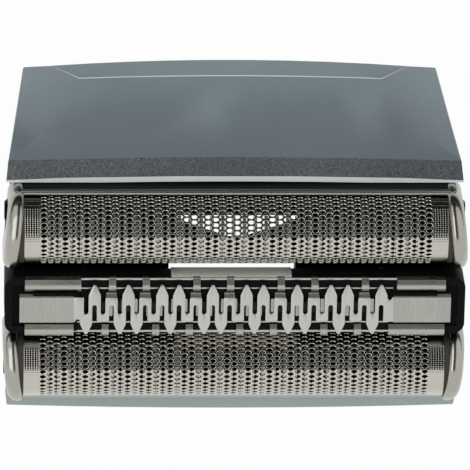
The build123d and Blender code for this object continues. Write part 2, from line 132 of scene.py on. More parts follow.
class Shader:
    """Node tree of one material, with short ways to add the nodes that the finishes share."""

    def __init__(self, name: str) -> None:
        """Starts a material with its Principled shader and Object coordinates.

        Args:
            name: Name of the material.
        """
        self.material = bpy.data.materials.new(name)
        self.material.use_nodes = True
        self.nodes = self.material.node_tree.nodes
        self.links = self.material.node_tree.links
        self.surface = self.nodes["Principled BSDF"]
        self.coords = self.nodes.new("ShaderNodeTexCoord")

    def set(self, **values: Any) -> None:
        """Sets sockets of the shader that are the same all over the surface.

        Args:
            values: Socket names, with _ for a space, and their values.
        """
        for name, value in values.items():
            self.surface.inputs[name.replace("_", " ")].default_value = value

    def feed(self, socket: bpy.types.NodeSocket, value: Any) -> None:
        """Links a socket to an output, or sets it to a plain value.

        Args:
            socket: Input socket.
            value: Output socket or plain value.
        """
        if isinstance(value, bpy.types.NodeSocket):
            self.links.new(value, socket)
        else:
            socket.default_value = value

    def stretched(self, stretch: Sequence[float]) -> bpy.types.NodeSocket:
        """Object coordinates scaled along each axis.

        Args:
            stretch: Scale along X, Y and Z, a higher one for a finer pattern.

        Returns:
            The scaled coordinates.
        """
        mapping = self.nodes.new("ShaderNodeMapping")
        mapping.inputs["Scale"].default_value = stretch
        self.links.new(self.coords.outputs["Object"], mapping.inputs["Vector"])
        return mapping.outputs["Vector"]

    def noise(self, stretch: Sequence[float], detail: float = 2.0) -> bpy.types.NodeSocket:
        """Soft noise of a stated fineness.

        Args:
            stretch: Cells a metre along X, Y and Z.
            detail: How many finer layers lie on it.

        Returns:
            The noise, from 0 to 1.
        """
        noise = self.nodes.new("ShaderNodeTexNoise")
        noise.inputs["Scale"].default_value = 1.0
        noise.inputs["Detail"].default_value = detail
        self.links.new(self.stretched(stretch), noise.inputs["Vector"])
        return noise.outputs["Fac"]

    def flakes(self, density: float) -> bpy.types.NodeSocket:
        """One random value to each small cell, as metal flakes in paint have.

        Args:
            density: Flakes a metre.

        Returns:
            The flakes' values, from 0 to 1.
        """
        cells = self.nodes.new("ShaderNodeTexVoronoi")
        cells.inputs["Scale"].default_value = 1.0
        self.links.new(self.stretched((density, density, density)), cells.inputs["Vector"])
        parts = self.nodes.new("ShaderNodeSeparateColor")
        self.links.new(cells.outputs["Color"], parts.inputs["Color"])
        return parts.outputs["Red"]

    def ranged(self, value: bpy.types.NodeSocket, low: float, high: float,
               start: float = 0.0, end: float = 1.0) -> bpy.types.NodeSocket:
        """Carries one range of values over to another in this material."""
        return carried_over(self.material.node_tree, value, low, high, start, end)

    def mixed(self, factor: bpy.types.NodeSocket, first: Any, second: Any) -> bpy.types.NodeSocket:
        """Mixes two colours.

        Args:
            factor: Share of the second colour.
            first: Colour at 0.
            second: Colour at 1.

        Returns:
            The mixed colour.
        """
        node = self.nodes.new("ShaderNodeMix")
        node.data_type = "RGBA"
        self.links.new(factor, node.inputs["Factor"])
        self.feed(node.inputs[6], first)
        self.feed(node.inputs[7], second)
        return node.outputs[2]

    def reckoned(self, operation: str, first: Any, second: Any) -> bpy.types.NodeSocket:
        """Works out one value from two.

        Args:
            operation: Blender's name of the operation.
            first: First value or output.
            second: Second value or output.

        Returns:
            The result.
        """
        node = self.nodes.new("ShaderNodeMath")
        node.operation = operation
        self.feed(node.inputs[0], first)
        self.feed(node.inputs[1], second)
        return node.outputs[0]

    def relief(self, height: bpy.types.NodeSocket, depth: float, strength: float = 1.0) -> None:
        """Roughens the surface by a height pattern.

        Args:
            height: Pattern from 0 to 1.
            depth: Height of the pattern in millimetres.
            strength: How much of it shows.
        """
        bump = self.nodes.new("ShaderNodeBump")
        bump.inputs["Strength"].default_value = strength
        bump.inputs["Distance"].default_value = depth * MM
        self.links.new(height, bump.inputs["Height"])
        self.links.new(bump.outputs["Normal"], self.surface.inputs["Normal"])


@dataclass(frozen=True)
class Finish:
    """A surface finish. Its material is made once and shared by the pieces that have it."""

    name: str
    colour: Colour
    shade: Colour
    roughness: tuple[float, float]

    def material(self) -> bpy.types.Material:
        """The finish's material, made when it is first asked for."""
        return bpy.data.materials.get(self.name) or self.build()

    def build(self) -> bpy.types.Material:
        """Makes the material; each kind of finish has its own way."""
        raise NotImplementedError


@dataclass(frozen=True)
class PaintFinish(Finish):
    """Metal flakes under a thin clear coat: the skirt's silver paints and the guard's pale side plate."""

    flake_density: float = 11000.0
    flake_relief: float = 0.012
    flake_share: float = 0.25
    metallic: float = 0.3
    coat: float = 0.2
    coat_roughness: float = 0.18
    drift_density: float = 70.0
    spray_density: float = 2600.0

    def build(self) -> bpy.types.Material:
        """Makes the paint from flakes, a slow drift of tone and a fine spray texture.

        Returns:
            The material.
        """
        shader = Shader(self.name)
        flakes = shader.flakes(self.flake_density)
        drift = shader.noise((self.drift_density,) * 3)
        tone = shader.reckoned("ADD", shader.ranged(flakes, 0.0, self.flake_share),
                               shader.ranged(drift, 0.0, 1.0 - self.flake_share, *NOISE_SPAN))
        shader.feed(shader.surface.inputs["Base Color"], shader.mixed(tone, self.shade, self.colour))
        spray = shader.noise((self.spray_density,) * 3)
        shader.feed(shader.surface.inputs["Roughness"], shader.ranged(spray, *self.roughness, *NOISE_SPAN))
        shader.relief(shader.reckoned("ADD", flakes, spray), self.flake_relief)
        shader.set(Metallic=self.metallic, Coat_Weight=self.coat, Coat_Roughness=self.coat_roughness)
        return shader.material


@dataclass(frozen=True)
class MouldedFinish(Finish):
    """Moulded plastic with the fine texture of a spark-eroded tool."""

    texture_density: float = 7000.0
    texture_relief: float = 0.012
    gloss: float = 0.25
    drift_density: float = 160.0

    def build(self) -> bpy.types.Material:
        """Makes the plastic from a fine texture and a slow drift of tone.

        Returns:
            The material.
        """
        shader = Shader(self.name)
        texture = shader.noise((self.texture_density,) * 3, GRAIN_DETAIL)
        drift = shader.noise((self.drift_density,) * 3)
        shader.feed(shader.surface.inputs["Base Color"], shader.mixed(drift, self.shade, self.colour))
        shader.feed(shader.surface.inputs["Roughness"], shader.ranged(texture, *self.roughness, *NOISE_SPAN))
        shader.relief(texture, self.texture_relief)
        shader.set(Specular_IOR_Level=self.gloss)
        return shader.material


@dataclass(frozen=True)
class MetalFinish(Finish):
    """Bare or plated metal, with the grain that rolling, brushing or blasting leaves."""

    grain: tuple[float, float, float] = (6000.0, 6000.0, 6000.0)
    grain_relief: float = 0.004
    grain_share: float = 0.7
    drift_density: float = 240.0

    def build(self) -> bpy.types.Material:
        """Makes the metal from its grain and a slow drift of tone and gloss.

        Returns:
            The material.
        """
        shader = Shader(self.name)
        grain = shader.noise(self.grain, GRAIN_DETAIL)
        drift = shader.noise((self.drift_density,) * 3)
        tone = shader.reckoned("ADD", shader.ranged(grain, 0.0, self.grain_share, *GRAIN_SPAN),
                               shader.ranged(drift, 0.0, 1.0 - self.grain_share, *NOISE_SPAN))
        shader.feed(shader.surface.inputs["Base Color"], shader.mixed(tone, self.shade, self.colour))
        shader.feed(shader.surface.inputs["Roughness"], shader.ranged(tone, *reversed(self.roughness)))
        shader.relief(grain, self.grain_relief)
        shader.set(Metallic=1.0)
        return shader.material


PAINT = PaintFinish("skirt_silver", (0.253, 0.314, 0.341, 1.0), (0.213, 0.265, 0.292, 1.0), (0.34, 0.42),
                    metallic=0.5)
SHOULDER_PAINT = PaintFinish("skirt_shoulder_silver", (0.24, 0.262, 0.27, 1.0), (0.055, 0.062, 0.066, 1.0),
                             (0.26, 0.40), flake_relief=0.05, flake_share=0.8, metallic=0.5, coat=0.1)
# A lighter copy of the shoulder paint for the front shoulder, as painted light; both shoulders carry one
# paint.
FRONT_SHOULDER_LIT_PAINT = PaintFinish("skirt_front_painted_light", (0.44, 0.495, 0.50, 1.0), (0.39, 0.445, 0.45, 1.0),
                          (0.30, 0.40), metallic=0.1)
PALE_STEEL = PaintFinish("side_plate_steel", (0.86, 0.85, 0.79, 1.0), (0.78, 0.77, 0.71, 1.0), (0.36, 0.46),
                         metallic=0.1)
# The skirt's silver paint lightened nearly to white: a painted highlight on the lip and on the steps round
# the flares.
LIP_HIGHLIGHT_PAINT = PaintFinish("skirt_lip_painted_highlight", (0.90, 0.96, 0.97, 1.0), (0.86, 0.92, 0.93, 1.0), (0.30, 0.40),
                        flake_relief=0.006, metallic=0.0)
RAW = MouldedFinish("raw_moulding", (0.035, 0.036, 0.038, 1.0), (0.025, 0.026, 0.028, 1.0), (0.5, 0.62))
SEAT = MouldedFinish("seat_grey", (0.060, 0.059, 0.055, 1.0), (0.045, 0.044, 0.041, 1.0), (0.45, 0.55))
BLACK = MouldedFinish("moulded_black", (0.008, 0.008, 0.008, 1.0), (0.005, 0.005, 0.005, 1.0), (0.42, 0.56),
                      gloss=0.06)
PLATING = MetalFinish("satin_nickel", (0.50, 0.49, 0.445, 1.0), (0.45, 0.44, 0.395, 1.0), (0.16, 0.24),
                      grain=(5200.0, 5200.0, 5200.0), grain_relief=0.0008)
FOIL = MetalFinish("bright_nickel", (0.66, 0.645, 0.58, 1.0), (0.60, 0.585, 0.52, 1.0), (0.07, 0.12),
                   grain=(9000.0, 9000.0, 9000.0), grain_relief=0.0008)
STAMPED = MetalFinish("blasted_steel", (0.72, 0.715, 0.68, 1.0), (0.56, 0.555, 0.52, 1.0), (0.26, 0.40),
                      grain=(8500.0, 8500.0, 8500.0), grain_relief=0.008)
BRUSHED = MetalFinish("brushed_steel", (0.54, 0.53, 0.49, 1.0), (0.43, 0.42, 0.385, 1.0), (0.20, 0.34),
                      grain=(9000.0, 360.0, 360.0), grain_relief=0.005)
ROLLED = MetalFinish("rolled_steel", (0.54, 0.535, 0.49, 1.0), (0.46, 0.455, 0.41, 1.0), (0.24, 0.32),
                     grain=(260.0, 9000.0, 9000.0), grain_relief=0.0012)
# A darker, rougher copy of the stamped steel for the comb's folds and tabs; the darkness is painted shade.
FOLD_SHADE_STEEL = MetalFinish("steel_fold_painted_shade", (0.42, 0.415, 0.375, 1.0), (0.34, 0.335, 0.30, 1.0), (0.52, 0.64),
                     grain=(420.0, 4000.0, 4000.0), grain_relief=0.001)
GROUND = MetalFinish("ground_steel", (0.50, 0.49, 0.47, 1.0), (0.40, 0.39, 0.37, 1.0), (0.20, 0.32),
                     grain=(9000.0, 700.0, 700.0), grain_relief=0.004)
# Near-black steel for the blade's strip under the comb: painted shade.
SHADED_STRIP_STEEL = MetalFinish("steel_painted_shade", (0.035, 0.034, 0.033, 1.0), (0.022, 0.021, 0.02, 1.0), (0.4, 0.55))
SPRING = MetalFinish("spring_strip", (0.48, 0.47, 0.46, 1.0), (0.38, 0.37, 0.36, 1.0), (0.22, 0.34),
                     grain=(500.0, 8000.0, 8000.0), grain_relief=0.004)


def verts_in(geometry: Iterable[Any]) -> list[bmesh.types.BMVert]:
    """Vertices among an operator's results."""
    return [part for part in geometry if isinstance(part, bmesh.types.BMVert)]


def edges_in(geometry: Iterable[Any]) -> list[bmesh.types.BMEdge]:
    """Edges among an operator's results."""
    return [part for part in geometry if isinstance(part, bmesh.types.BMEdge)]


def faces_in(geometry: Iterable[Any]) -> list[bmesh.types.BMFace]:
    """Faces among an operator's results."""
    return [part for part in geometry if isinstance(part, bmesh.types.BMFace)]


def everything(mesh: bmesh.types.BMesh) -> Geometry:
    """All vertices, edges and faces of a bmesh."""
    return [*mesh.verts, *mesh.edges, *mesh.faces]


def added_since(mesh: bmesh.types.BMesh, before: set[Any]) -> Geometry:
    """What a bmesh holds now and didn't hold before."""
    return [part for part in everything(mesh) if part not in before]


def marked(faces: Iterable[bmesh.types.BMFace], index: int) -> None:
    """Gives faces a material index."""
    for face in faces:
        face.material_index = index


def copied(mesh: bmesh.types.BMesh, geometry: Geometry, offset: Sequence[float]) -> Geometry:
    """Copies part of a bmesh to another place.

    Args:
        mesh: The bmesh.
        geometry: Vertices, edges and faces to copy.
        offset: How far the copy moves.

    Returns:
        The copy's geometry.
    """
    made = bmesh.ops.duplicate(mesh, geom=geometry)["geom"]
    bmesh.ops.translate(mesh, vec=offset, verts=verts_in(made))
    return made


def half_turned(mesh: bmesh.types.BMesh, geometry: Geometry) -> None:
    """Adds a copy of part of a bmesh, turned half round about Z."""
    twin = bmesh.ops.duplicate(mesh, geom=geometry)["geom"]
    bmesh.ops.rotate(mesh, matrix=Matrix.Rotation(math.pi, 3, "Z"), verts=verts_in(twin))


def drawn_on(mesh: bmesh.types.BMesh, edges: list[bmesh.types.BMEdge],
             offset: Sequence[float]) -> list[bmesh.types.BMEdge]:
    """Extrudes edges into a strip of faces.

    Args:
        mesh: The bmesh.
        edges: Edges to extrude.
        offset: How far they move.

    Returns:
        The new edges at the far side of the strip.
    """
    made = bmesh.ops.extrude_edge_only(mesh, edges=edges)["geom"]
    moved = verts_in(made)
    bmesh.ops.translate(mesh, vec=offset, verts=moved)
    fresh = set(moved)
    return [edge for edge in edges_in(made) if set(edge.verts) <= fresh]


def thickened(mesh: bmesh.types.BMesh, offset: Sequence[float]) -> None:
    """Extrudes every flat face of a bmesh into a closed plate.

    Args:
        mesh: The bmesh, which holds one flat sheet.
        offset: Thickness and direction of the plate.
    """
    made = bmesh.ops.extrude_face_region(mesh, geom=mesh.faces[:], use_keep_orig=True)["geom"]
    bmesh.ops.translate(mesh, vec=offset, verts=verts_in(made))
    bmesh.ops.recalc_face_normals(mesh, faces=mesh.faces)


def sheet_metal(mesh: bmesh.types.BMesh, faces: list[bmesh.types.BMFace], wall: float) -> None:
    """Thickens faces of bent sheet downwards from their upper side.

    Args:
        mesh: The bmesh.
        faces: Faces of the upper side.
        wall: Thickness of the sheet.
    """
    bmesh.ops.recalc_face_normals(mesh, faces=faces)
    if sum(face.normal.z * face.calc_area() for face in faces) < 0:
        bmesh.ops.reverse_faces(mesh, faces=faces)
    bmesh.ops.solidify(mesh, geom=faces, thickness=wall)


def sheet_length(mesh: bmesh.types.BMesh, section: Sequence[tuple[float, float]], x_span: Sequence[float],
                 wall: float) -> None:
    """Adds a length of folded sheet with the same section all along X.

    Args:
        mesh: The bmesh.
        section: Upper side of the sheet as (y, z) points.
        x_span: Where it starts and ends along X.
        wall: Thickness of the sheet.
    """
    start, end = x_span
    line = [mesh.verts.new((start, y, z)) for y, z in section]
    edges = [mesh.edges.new(pair) for pair in zip(line, line[1:])]
    far = drawn_on(mesh, edges, (end - start, 0, 0))
    sheet_metal(mesh, list({face for edge in far for face in edge.link_faces}), wall)


def rounded(mesh: bmesh.types.BMesh, edges: list[bmesh.types.BMEdge], radius: float, segments: int,
            clamped: bool = True) -> None:
    """Rounds edges off.

    Args:
        mesh: The bmesh.
        edges: Edges to round.
        radius: Width of the rounding.
        segments: Faces across it.
        clamped: Whether the width gives way where an edge next to it is short.
    """
    bmesh.ops.bevel(mesh, geom=edges, offset=radius, offset_type="OFFSET", segments=segments, profile=0.5,
                    affect="EDGES", clamp_overlap=clamped, material=-1)


def sharp_edges(mesh: bmesh.types.BMesh, angle: float) -> list[bmesh.types.BMEdge]:
    """Edges whose two faces turn by more than an angle in degrees."""
    limit = math.radians(angle)
    return [edge for edge in mesh.edges if edge.is_manifold and edge.calc_face_angle(0.0) > limit]


def box(mesh: bmesh.types.BMesh, x_span: Sequence[float], y_span: Sequence[float],
        z_span: Sequence[float]) -> Geometry:
    """Adds a rectangular block between three pairs of limits.

    Args:
        mesh: The bmesh.
        x_span: Limits along X.
        y_span: Limits along Y.
        z_span: Limits along Z.

    Returns:
        The block's vertices and edges.
    """
    spans = (x_span, y_span, z_span)
    made = bmesh.ops.create_cube(mesh, size=1.0)["verts"]
    bmesh.ops.scale(mesh, vec=[high - low for low, high in spans], verts=made)
    bmesh.ops.translate(mesh, vec=[(high + low) / 2 for low, high in spans], verts=made)
    return [*made, *{edge for vert in made for edge in vert.link_edges}]


def edges_along(geometry: Geometry, axis: int) -> list[bmesh.types.BMEdge]:
    """Edges that run along one axis, 0 to 2 for X to Z."""
    found = []
    for edge in edges_in(geometry):
        run = edge.verts[1].co - edge.verts[0].co
        if abs(run[axis]) > ALIGNED_SHARE * run.length:
            found.append(edge)
    return found


def mesh_object(mesh: bmesh.types.BMesh, name: str,
                materials: Iterable[bpy.types.Material]) -> bpy.types.Object:
    """Turns a bmesh in metres into an object of the scene.

    Args:
        mesh: The bmesh, which is freed.
        name: Name of the object and its mesh.
        materials: Its materials, by material index.

    Returns:
        The new object.
    """
    data = bpy.data.meshes.new(name)
    mesh.to_mesh(data)
    mesh.free()
    for material in materials:
        data.materials.append(material)
    made = bpy.data.objects.new(name, data)
    bpy.context.scene.collection.objects.link(made)
    return made


def make_piece(mesh: bmesh.types.BMesh, name: str, finishes: Sequence[Finish], place: Vector,
               smooth: float = 35.0, flat: int | None = None) -> bpy.types.Object:
    """Turns a bmesh in millimetres into an object in metres, with its place in its mesh.

    Args:
        mesh: The bmesh, which is freed.
        name: Name of the piece.
        finishes: Its finishes, by material index.
        place: Where its origin goes, in millimetres.
        smooth: Angle in degrees above which an edge stays sharp.
        flat: Material index whose faces are shaded flat, if any.

    Returns:
        The new object.
    """
    bmesh.ops.translate(mesh, vec=place, verts=mesh.verts)
    bmesh.ops.scale(mesh, vec=(MM, MM, MM), verts=mesh.verts)
    piece = mesh_object(mesh, name, [finish.material() for finish in finishes])
    piece.data.shade_smooth()
    piece.data.set_sharp_from_angle(angle=math.radians(smooth))
    for face in piece.data.polygons:
        face.use_smooth = face.material_index != flat
    return piece


def fit(piece: bpy.types.Object, body: str, slot: Slot, *nodes: str) -> None:
    """Sets a piece on its body in place of the CAD nodes that it stands for.

    Args:
        piece: The piece.
        body: CAD body that it rides on.
        slot: Its material slot; not used.
        nodes: CAD nodes that it replaces.
    """
    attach(piece, body)
    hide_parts(*nodes)
    LOG.info("%s: %d faces on %s", piece.name, len(piece.data.polygons), body)


def merged_copy(node: str) -> bmesh.types.BMesh:
    """Copies a CAD node's mesh in millimetres, with its split edges merged and its flats in one face.

    Args:
        node: Name of the CAD node.

    Returns:
        The bmesh.
    """
    mesh = bmesh.new()
    mesh.from_mesh(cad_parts[node].data)
    for layers in (mesh.loops.layers.float_vector, mesh.loops.layers.uv):
        for layer in layers.values():
            layers.remove(layer)
    bmesh.ops.scale(mesh, vec=(1 / MM,) * 3, verts=mesh.verts)
    bmesh.ops.remove_doubles(mesh, verts=mesh.verts, dist=TOLERANCE)
    bmesh.ops.dissolve_limit(mesh, angle_limit=math.radians(FLAT_ANGLE), verts=mesh.verts, edges=mesh.edges)
    return mesh


def dress(node: str, finish: Finish) -> None:
    """Gives a CAD node that stays in view its finish.

    Args:
        node: Name of the CAD node.
        finish: Its finish.
    """
    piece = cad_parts[node]
    piece.data.materials.clear()
    piece.data.materials.append(finish.material())
    LOG.info("%s: kept from the frame, in %s", node, finish.name)


@dataclass
class ShavingFoil:
    """Perforated foil: a flat lattice of six-sided cells with rounded holes, bent over the cutter."""

    radius: float = 4.35
    wall: float = 0.08
    leg: float = 1.8
    length: float = 52.6
    column_pitch: float = 0.885
    row_pitch: float = 0.69
    columns: int = 55
    rows: int = 20
    blank_rows: int = 4
    hole_half_x: float = 0.36
    hole_half_y: float = 0.235
    rim_width: float = 0.07
    land_hold: float = 0.012
    rim_shoulder: float = 0.03
    rim_drop: float = 0.016
    strip_start: float = 24.42
    strip_columns: int = 6
    strip_rows: int = 66
    dimple_edge: float = 0.05
    dimple: float = 0.012
    dimple_index: int = 1

    @property
    def reach(self) -> float:
        """Half the width of the flat sheet."""
        return self.radius * math.pi / 2 + self.leg

    def cell_outline(self) -> list[Vector]:
        """Corners of one cell and the middles between them, in order."""
        half_row = self.row_pitch / 2
        lean = half_row * half_row / (2 * self.column_pitch)
        near, far = self.column_pitch / 2 - lean, self.column_pitch / 2 + lean
        corners = [Vector((x, y, 0.0)) for x, y in ((far, 0), (near, half_row), (-near, half_row),
                                                    (-far, 0), (-near, -half_row), (near, -half_row))]
        middles = [(here + there) / 2 for here, there in zip(corners, corners[1:] + corners[:1])]
        return [point for pair in zip(corners, middles) for point in pair]

    def ring(self, mesh: bmesh.types.BMesh, face: bmesh.types.BMFace, rim: float, depth: float) -> None:
        """Insets a cell's face to an oval about its hole.

        Args:
            mesh: The bmesh.
            face: The face, which shrinks to the oval.
            rim: How much wider than the hole the oval is, all round.
            depth: How far the oval lies below the outside of the foil.
        """
        bmesh.ops.inset_individual(mesh, faces=[face], thickness=self.rim_shoulder)
        reach_x, reach_y = self.hole_half_x + rim, self.hole_half_y + rim
        step = 2 * math.pi / len(face.verts)
        for vert in face.verts:
            turn = step * round(math.atan2(vert.co.y / reach_y, vert.co.x / reach_x) / step)
            vert.co = reach_x * math.cos(turn), reach_y * math.sin(turn), -depth

    def cell(self, mesh: bmesh.types.BMesh, pierced: bool) -> Geometry:
        """One cell of the lattice at the origin, with its upper and lower face.

        Args:
            mesh: The bmesh.
            pierced: Whether the cell has a hole with a rounded rim.

        Returns:
            The cell's geometry.
        """
        before = set(everything(mesh))
        outline = self.cell_outline()
        drop = Vector((0.0, 0.0, -self.wall))
        upper = mesh.faces.new([mesh.verts.new(point) for point in outline])
        lower = mesh.faces.new([mesh.verts.new(point + drop) for point in reversed(outline)])
        if pierced:
            rings = ((self.rim_width + self.land_hold, 0.0), (self.rim_width, 0.0),
                     (self.rim_shoulder, self.rim_drop), (0.0, self.wall))
            for rim, depth in rings:
                self.ring(mesh, upper, rim, depth)
            self.ring(mesh, lower, 0.0, self.wall)
            bmesh.ops.delete(mesh, geom=[upper, lower], context="FACES_ONLY")
        return added_since(mesh, before)

    def lattice(self, mesh: bmesh.types.BMesh) -> None:
        """Lays the pierced and blank cells out flat, X along the foil and Y across it.

        Args:
            mesh: The bmesh.
        """
        step = self.row_pitch
        pierced, blank = self.cell(mesh, True), self.cell(mesh, False)
        bmesh.ops.translate(mesh, vec=(0, self.rows * step, 0), verts=verts_in(blank))
        column = [*pierced, *blank]
        end_column: Geometry = []
        for row in range(1, self.rows):
            column += copied(mesh, pierced, (0, row * step, 0))
        for row in range(self.blank_rows):
            column += copied(mesh, blank, (0, (row + 1) * step, 0))
            column += copied(mesh, blank, (0, -(self.rows + row + 1) * step, 0))
        for row in range(-self.rows - self.blank_rows, self.blank_rows + 1):
            end_column += copied(mesh, blank, (-self.column_pitch, row * step + step / 2, 0))
        copied(mesh, end_column, ((self.columns + 1) * self.column_pitch, 0, 0))
        for index in range(1, self.columns):
            copied(mesh, column, (index * self.column_pitch, index % 2 * step / 2, 0))
        start = (-(self.columns - 1) / 2 * self.column_pitch, -(self.rows - 0.5) / 2 * step, 0)
        bmesh.ops.translate(mesh, vec=start, verts=mesh.verts)
        bmesh.ops.remove_doubles(mesh, verts=mesh.verts, dist=TOLERANCE)

    def trim(self, mesh: bmesh.types.BMesh) -> None:
        """Cuts the lattice to the foil's width and to the start of its end strips, and closes the cuts.

        Args:
            mesh: The bmesh.
        """
        for normal, distance in (((1, 0, 0), self.strip_start), ((0, 1, 0), self.reach)):
            for turn in (1, -1):
                outward = Vector(normal) * turn
                bmesh.ops.bisect_plane(mesh, geom=everything(mesh), dist=TOLERANCE / 4, clear_outer=True,
                                       plane_co=outward * distance, plane_no=outward)
        cut = [edge for edge in mesh.edges if edge.is_boundary
               and all(vert.co.z > -self.wall / 2 for vert in edge.verts)]
        drawn_on(mesh, cut, (0, 0, -self.wall))
        bmesh.ops.remove_doubles(mesh, verts=mesh.verts, dist=TOLERANCE)

    def end_strip(self, mesh: bmesh.types.BMesh, turn: int) -> None:
        """Adds one closed end strip with fine dimples over its outside.

        Args:
            mesh: The bmesh.
            turn: Which end, 1 or -1 along X.
        """
        inner, outer = self.strip_start, self.length / 2
        made = bmesh.ops.create_grid(mesh, x_segments=self.strip_columns, y_segments=self.strip_rows,
                                     size=1.0)["verts"]
        bmesh.ops.scale(mesh, vec=((outer - inner) / 2, self.reach, 1), verts=made)
        bmesh.ops.translate(mesh, vec=(turn * (outer + inner) / 2, 0, 0), verts=made)
        outside = list({face for vert in made for face in vert.link_faces})
        inside = bmesh.ops.extrude_face_region(mesh, geom=outside, use_keep_orig=True)["geom"]
        bmesh.ops.translate(mesh, vec=(0, 0, -self.wall), verts=verts_in(inside))
        bmesh.ops.inset_individual(mesh, faces=outside, thickness=self.dimple_edge)
        marked(bmesh.ops.poke(mesh, faces=outside, offset=-self.dimple)["faces"], self.dimple_index)

    def bend(self, mesh: bmesh.types.BMesh) -> None:
        """Bends the flat sheet over the foil axis, with straight legs below it.

        Args:
            mesh: The bmesh.
        """
        quarter = self.radius * math.pi / 2
        for vert in mesh.verts:
            across = max(-quarter, min(quarter, vert.co.y))
            leg = abs(vert.co.y) - abs(across)
            turn, reach = across / self.radius, self.radius + vert.co.z
            vert.co.yz = reach * math.sin(turn), reach * math.cos(turn) - leg

    def sheet(self) -> bmesh.types.BMesh:
        """The finished foil about its own axis.

        Returns:
            The closed bmesh.
        """
        mesh = bmesh.new()
        self.lattice(mesh)
        self.trim(mesh)
        for turn in (1, -1):
            self.end_strip(mesh, turn)
        self.bend(mesh)
        bmesh.ops.recalc_face_normals(mesh, faces=mesh.faces)
        return mesh

    def build(self, side: Side, axis: Vector, sheet: bmesh.types.BMesh) -> None:
        """Sets one foil in its unit.

        Args:
            side: Which foil it is.
            axis: Its axis in millimetres.
            sheet: The foil about its own axis, which is copied.
        """
        mesh = sheet.copy()
        turn = Matrix.Rotation((1 - side.value) * math.pi / 2, 3, "Z")
        bmesh.ops.rotate(mesh, matrix=turn, verts=mesh.verts)
        piece = make_piece(mesh, f"{side.prefix}_shaving_foil", [FOIL, FOIL], axis, smooth=50.0,
                           flat=self.dimple_index)
        fit(piece, f"{side.prefix}_foil_unit", Slot.FOIL, f"{side.prefix}_foil")


@dataclass
class CutterRow:
    """Row of thin round-crowned lamellae that runs under a foil."""

    radius: float = 4.14
    bore: float = 2.72
    leg: float = 0.6
    wall: float = 0.42
    pitch: float = 1.345
    count: int = 35
    shift: float = -0.39
    steps: int = 22

    def build(self, side: Side, axis: Vector) -> None:
        """Makes the row of lamellae.

        Args:
            side: Which foil it runs under.
            axis: The foil's axis in millimetres.
        """
        mesh = bmesh.new()
        foot = [mesh.verts.new((0, reach, 0)) for reach in (self.bore, self.radius)]
        start = mesh.edges.new(foot)
        swept = bmesh.ops.spin(mesh, geom=[*foot, start], cent=(0, 0, 0), axis=(1, 0, 0), angle=math.pi,
                               steps=self.steps)["geom_last"]
        for edge in (start, *edges_in(swept)):
            drawn_on(mesh, [edge], (0, 0, -self.leg))
        thickened(mesh, (self.wall, 0, 0))
        lamella = everything(mesh)
        for index in range(1, self.count):
            copied(mesh, lamella, (index * self.pitch, 0, 0))
        length = (self.count - 1) * self.pitch + self.wall
        bmesh.ops.translate(mesh, vec=(self.shift - length / 2, 0, 0), verts=mesh.verts)
        piece = make_piece(mesh, f"{side.prefix}_lamellae", [GROUND], axis)
        fit(piece, f"{side.prefix}_cutter", Slot.BLADE, f"{side.prefix}_cutter_blades")


@dataclass
class SocketWeb:
    """Pair of black webs over the drive socket of a cutter, inside the bore of its lamellae."""

    inner: float = 0.6
    outer: float = 7.7
    side: float = -2.15
    rise: tuple[float, float] = (-0.45, 2.0)
    level: float = 1.5
    wall: float = 0.25

    def build(self, side: Side, axis: Vector) -> None:
        """Makes the webs of one cutter.

        Args:
            side: Which cutter they lie on.
            axis: The foil's axis in millimetres.
        """
        mesh = bmesh.new()
        for turn in (1, -1):
            corners = ((self.inner, self.side), (self.outer, self.side), (self.outer, self.rise[1]),
                       (self.inner, self.rise[0]))
            mesh.faces.new([mesh.verts.new((turn * x, y, self.level)) for x, y in corners])
        thickened(mesh, (0, 0, self.wall))
        bmesh.ops.scale(mesh, vec=(1, side.value, 1), verts=mesh.verts)
        bmesh.ops.recalc_face_normals(mesh, faces=mesh.faces)
        piece = make_piece(mesh, f"{side.prefix}_socket_webs", [BLACK], axis)
        fit(piece, f"{side.prefix}_cutter", Slot.PLASTIC)


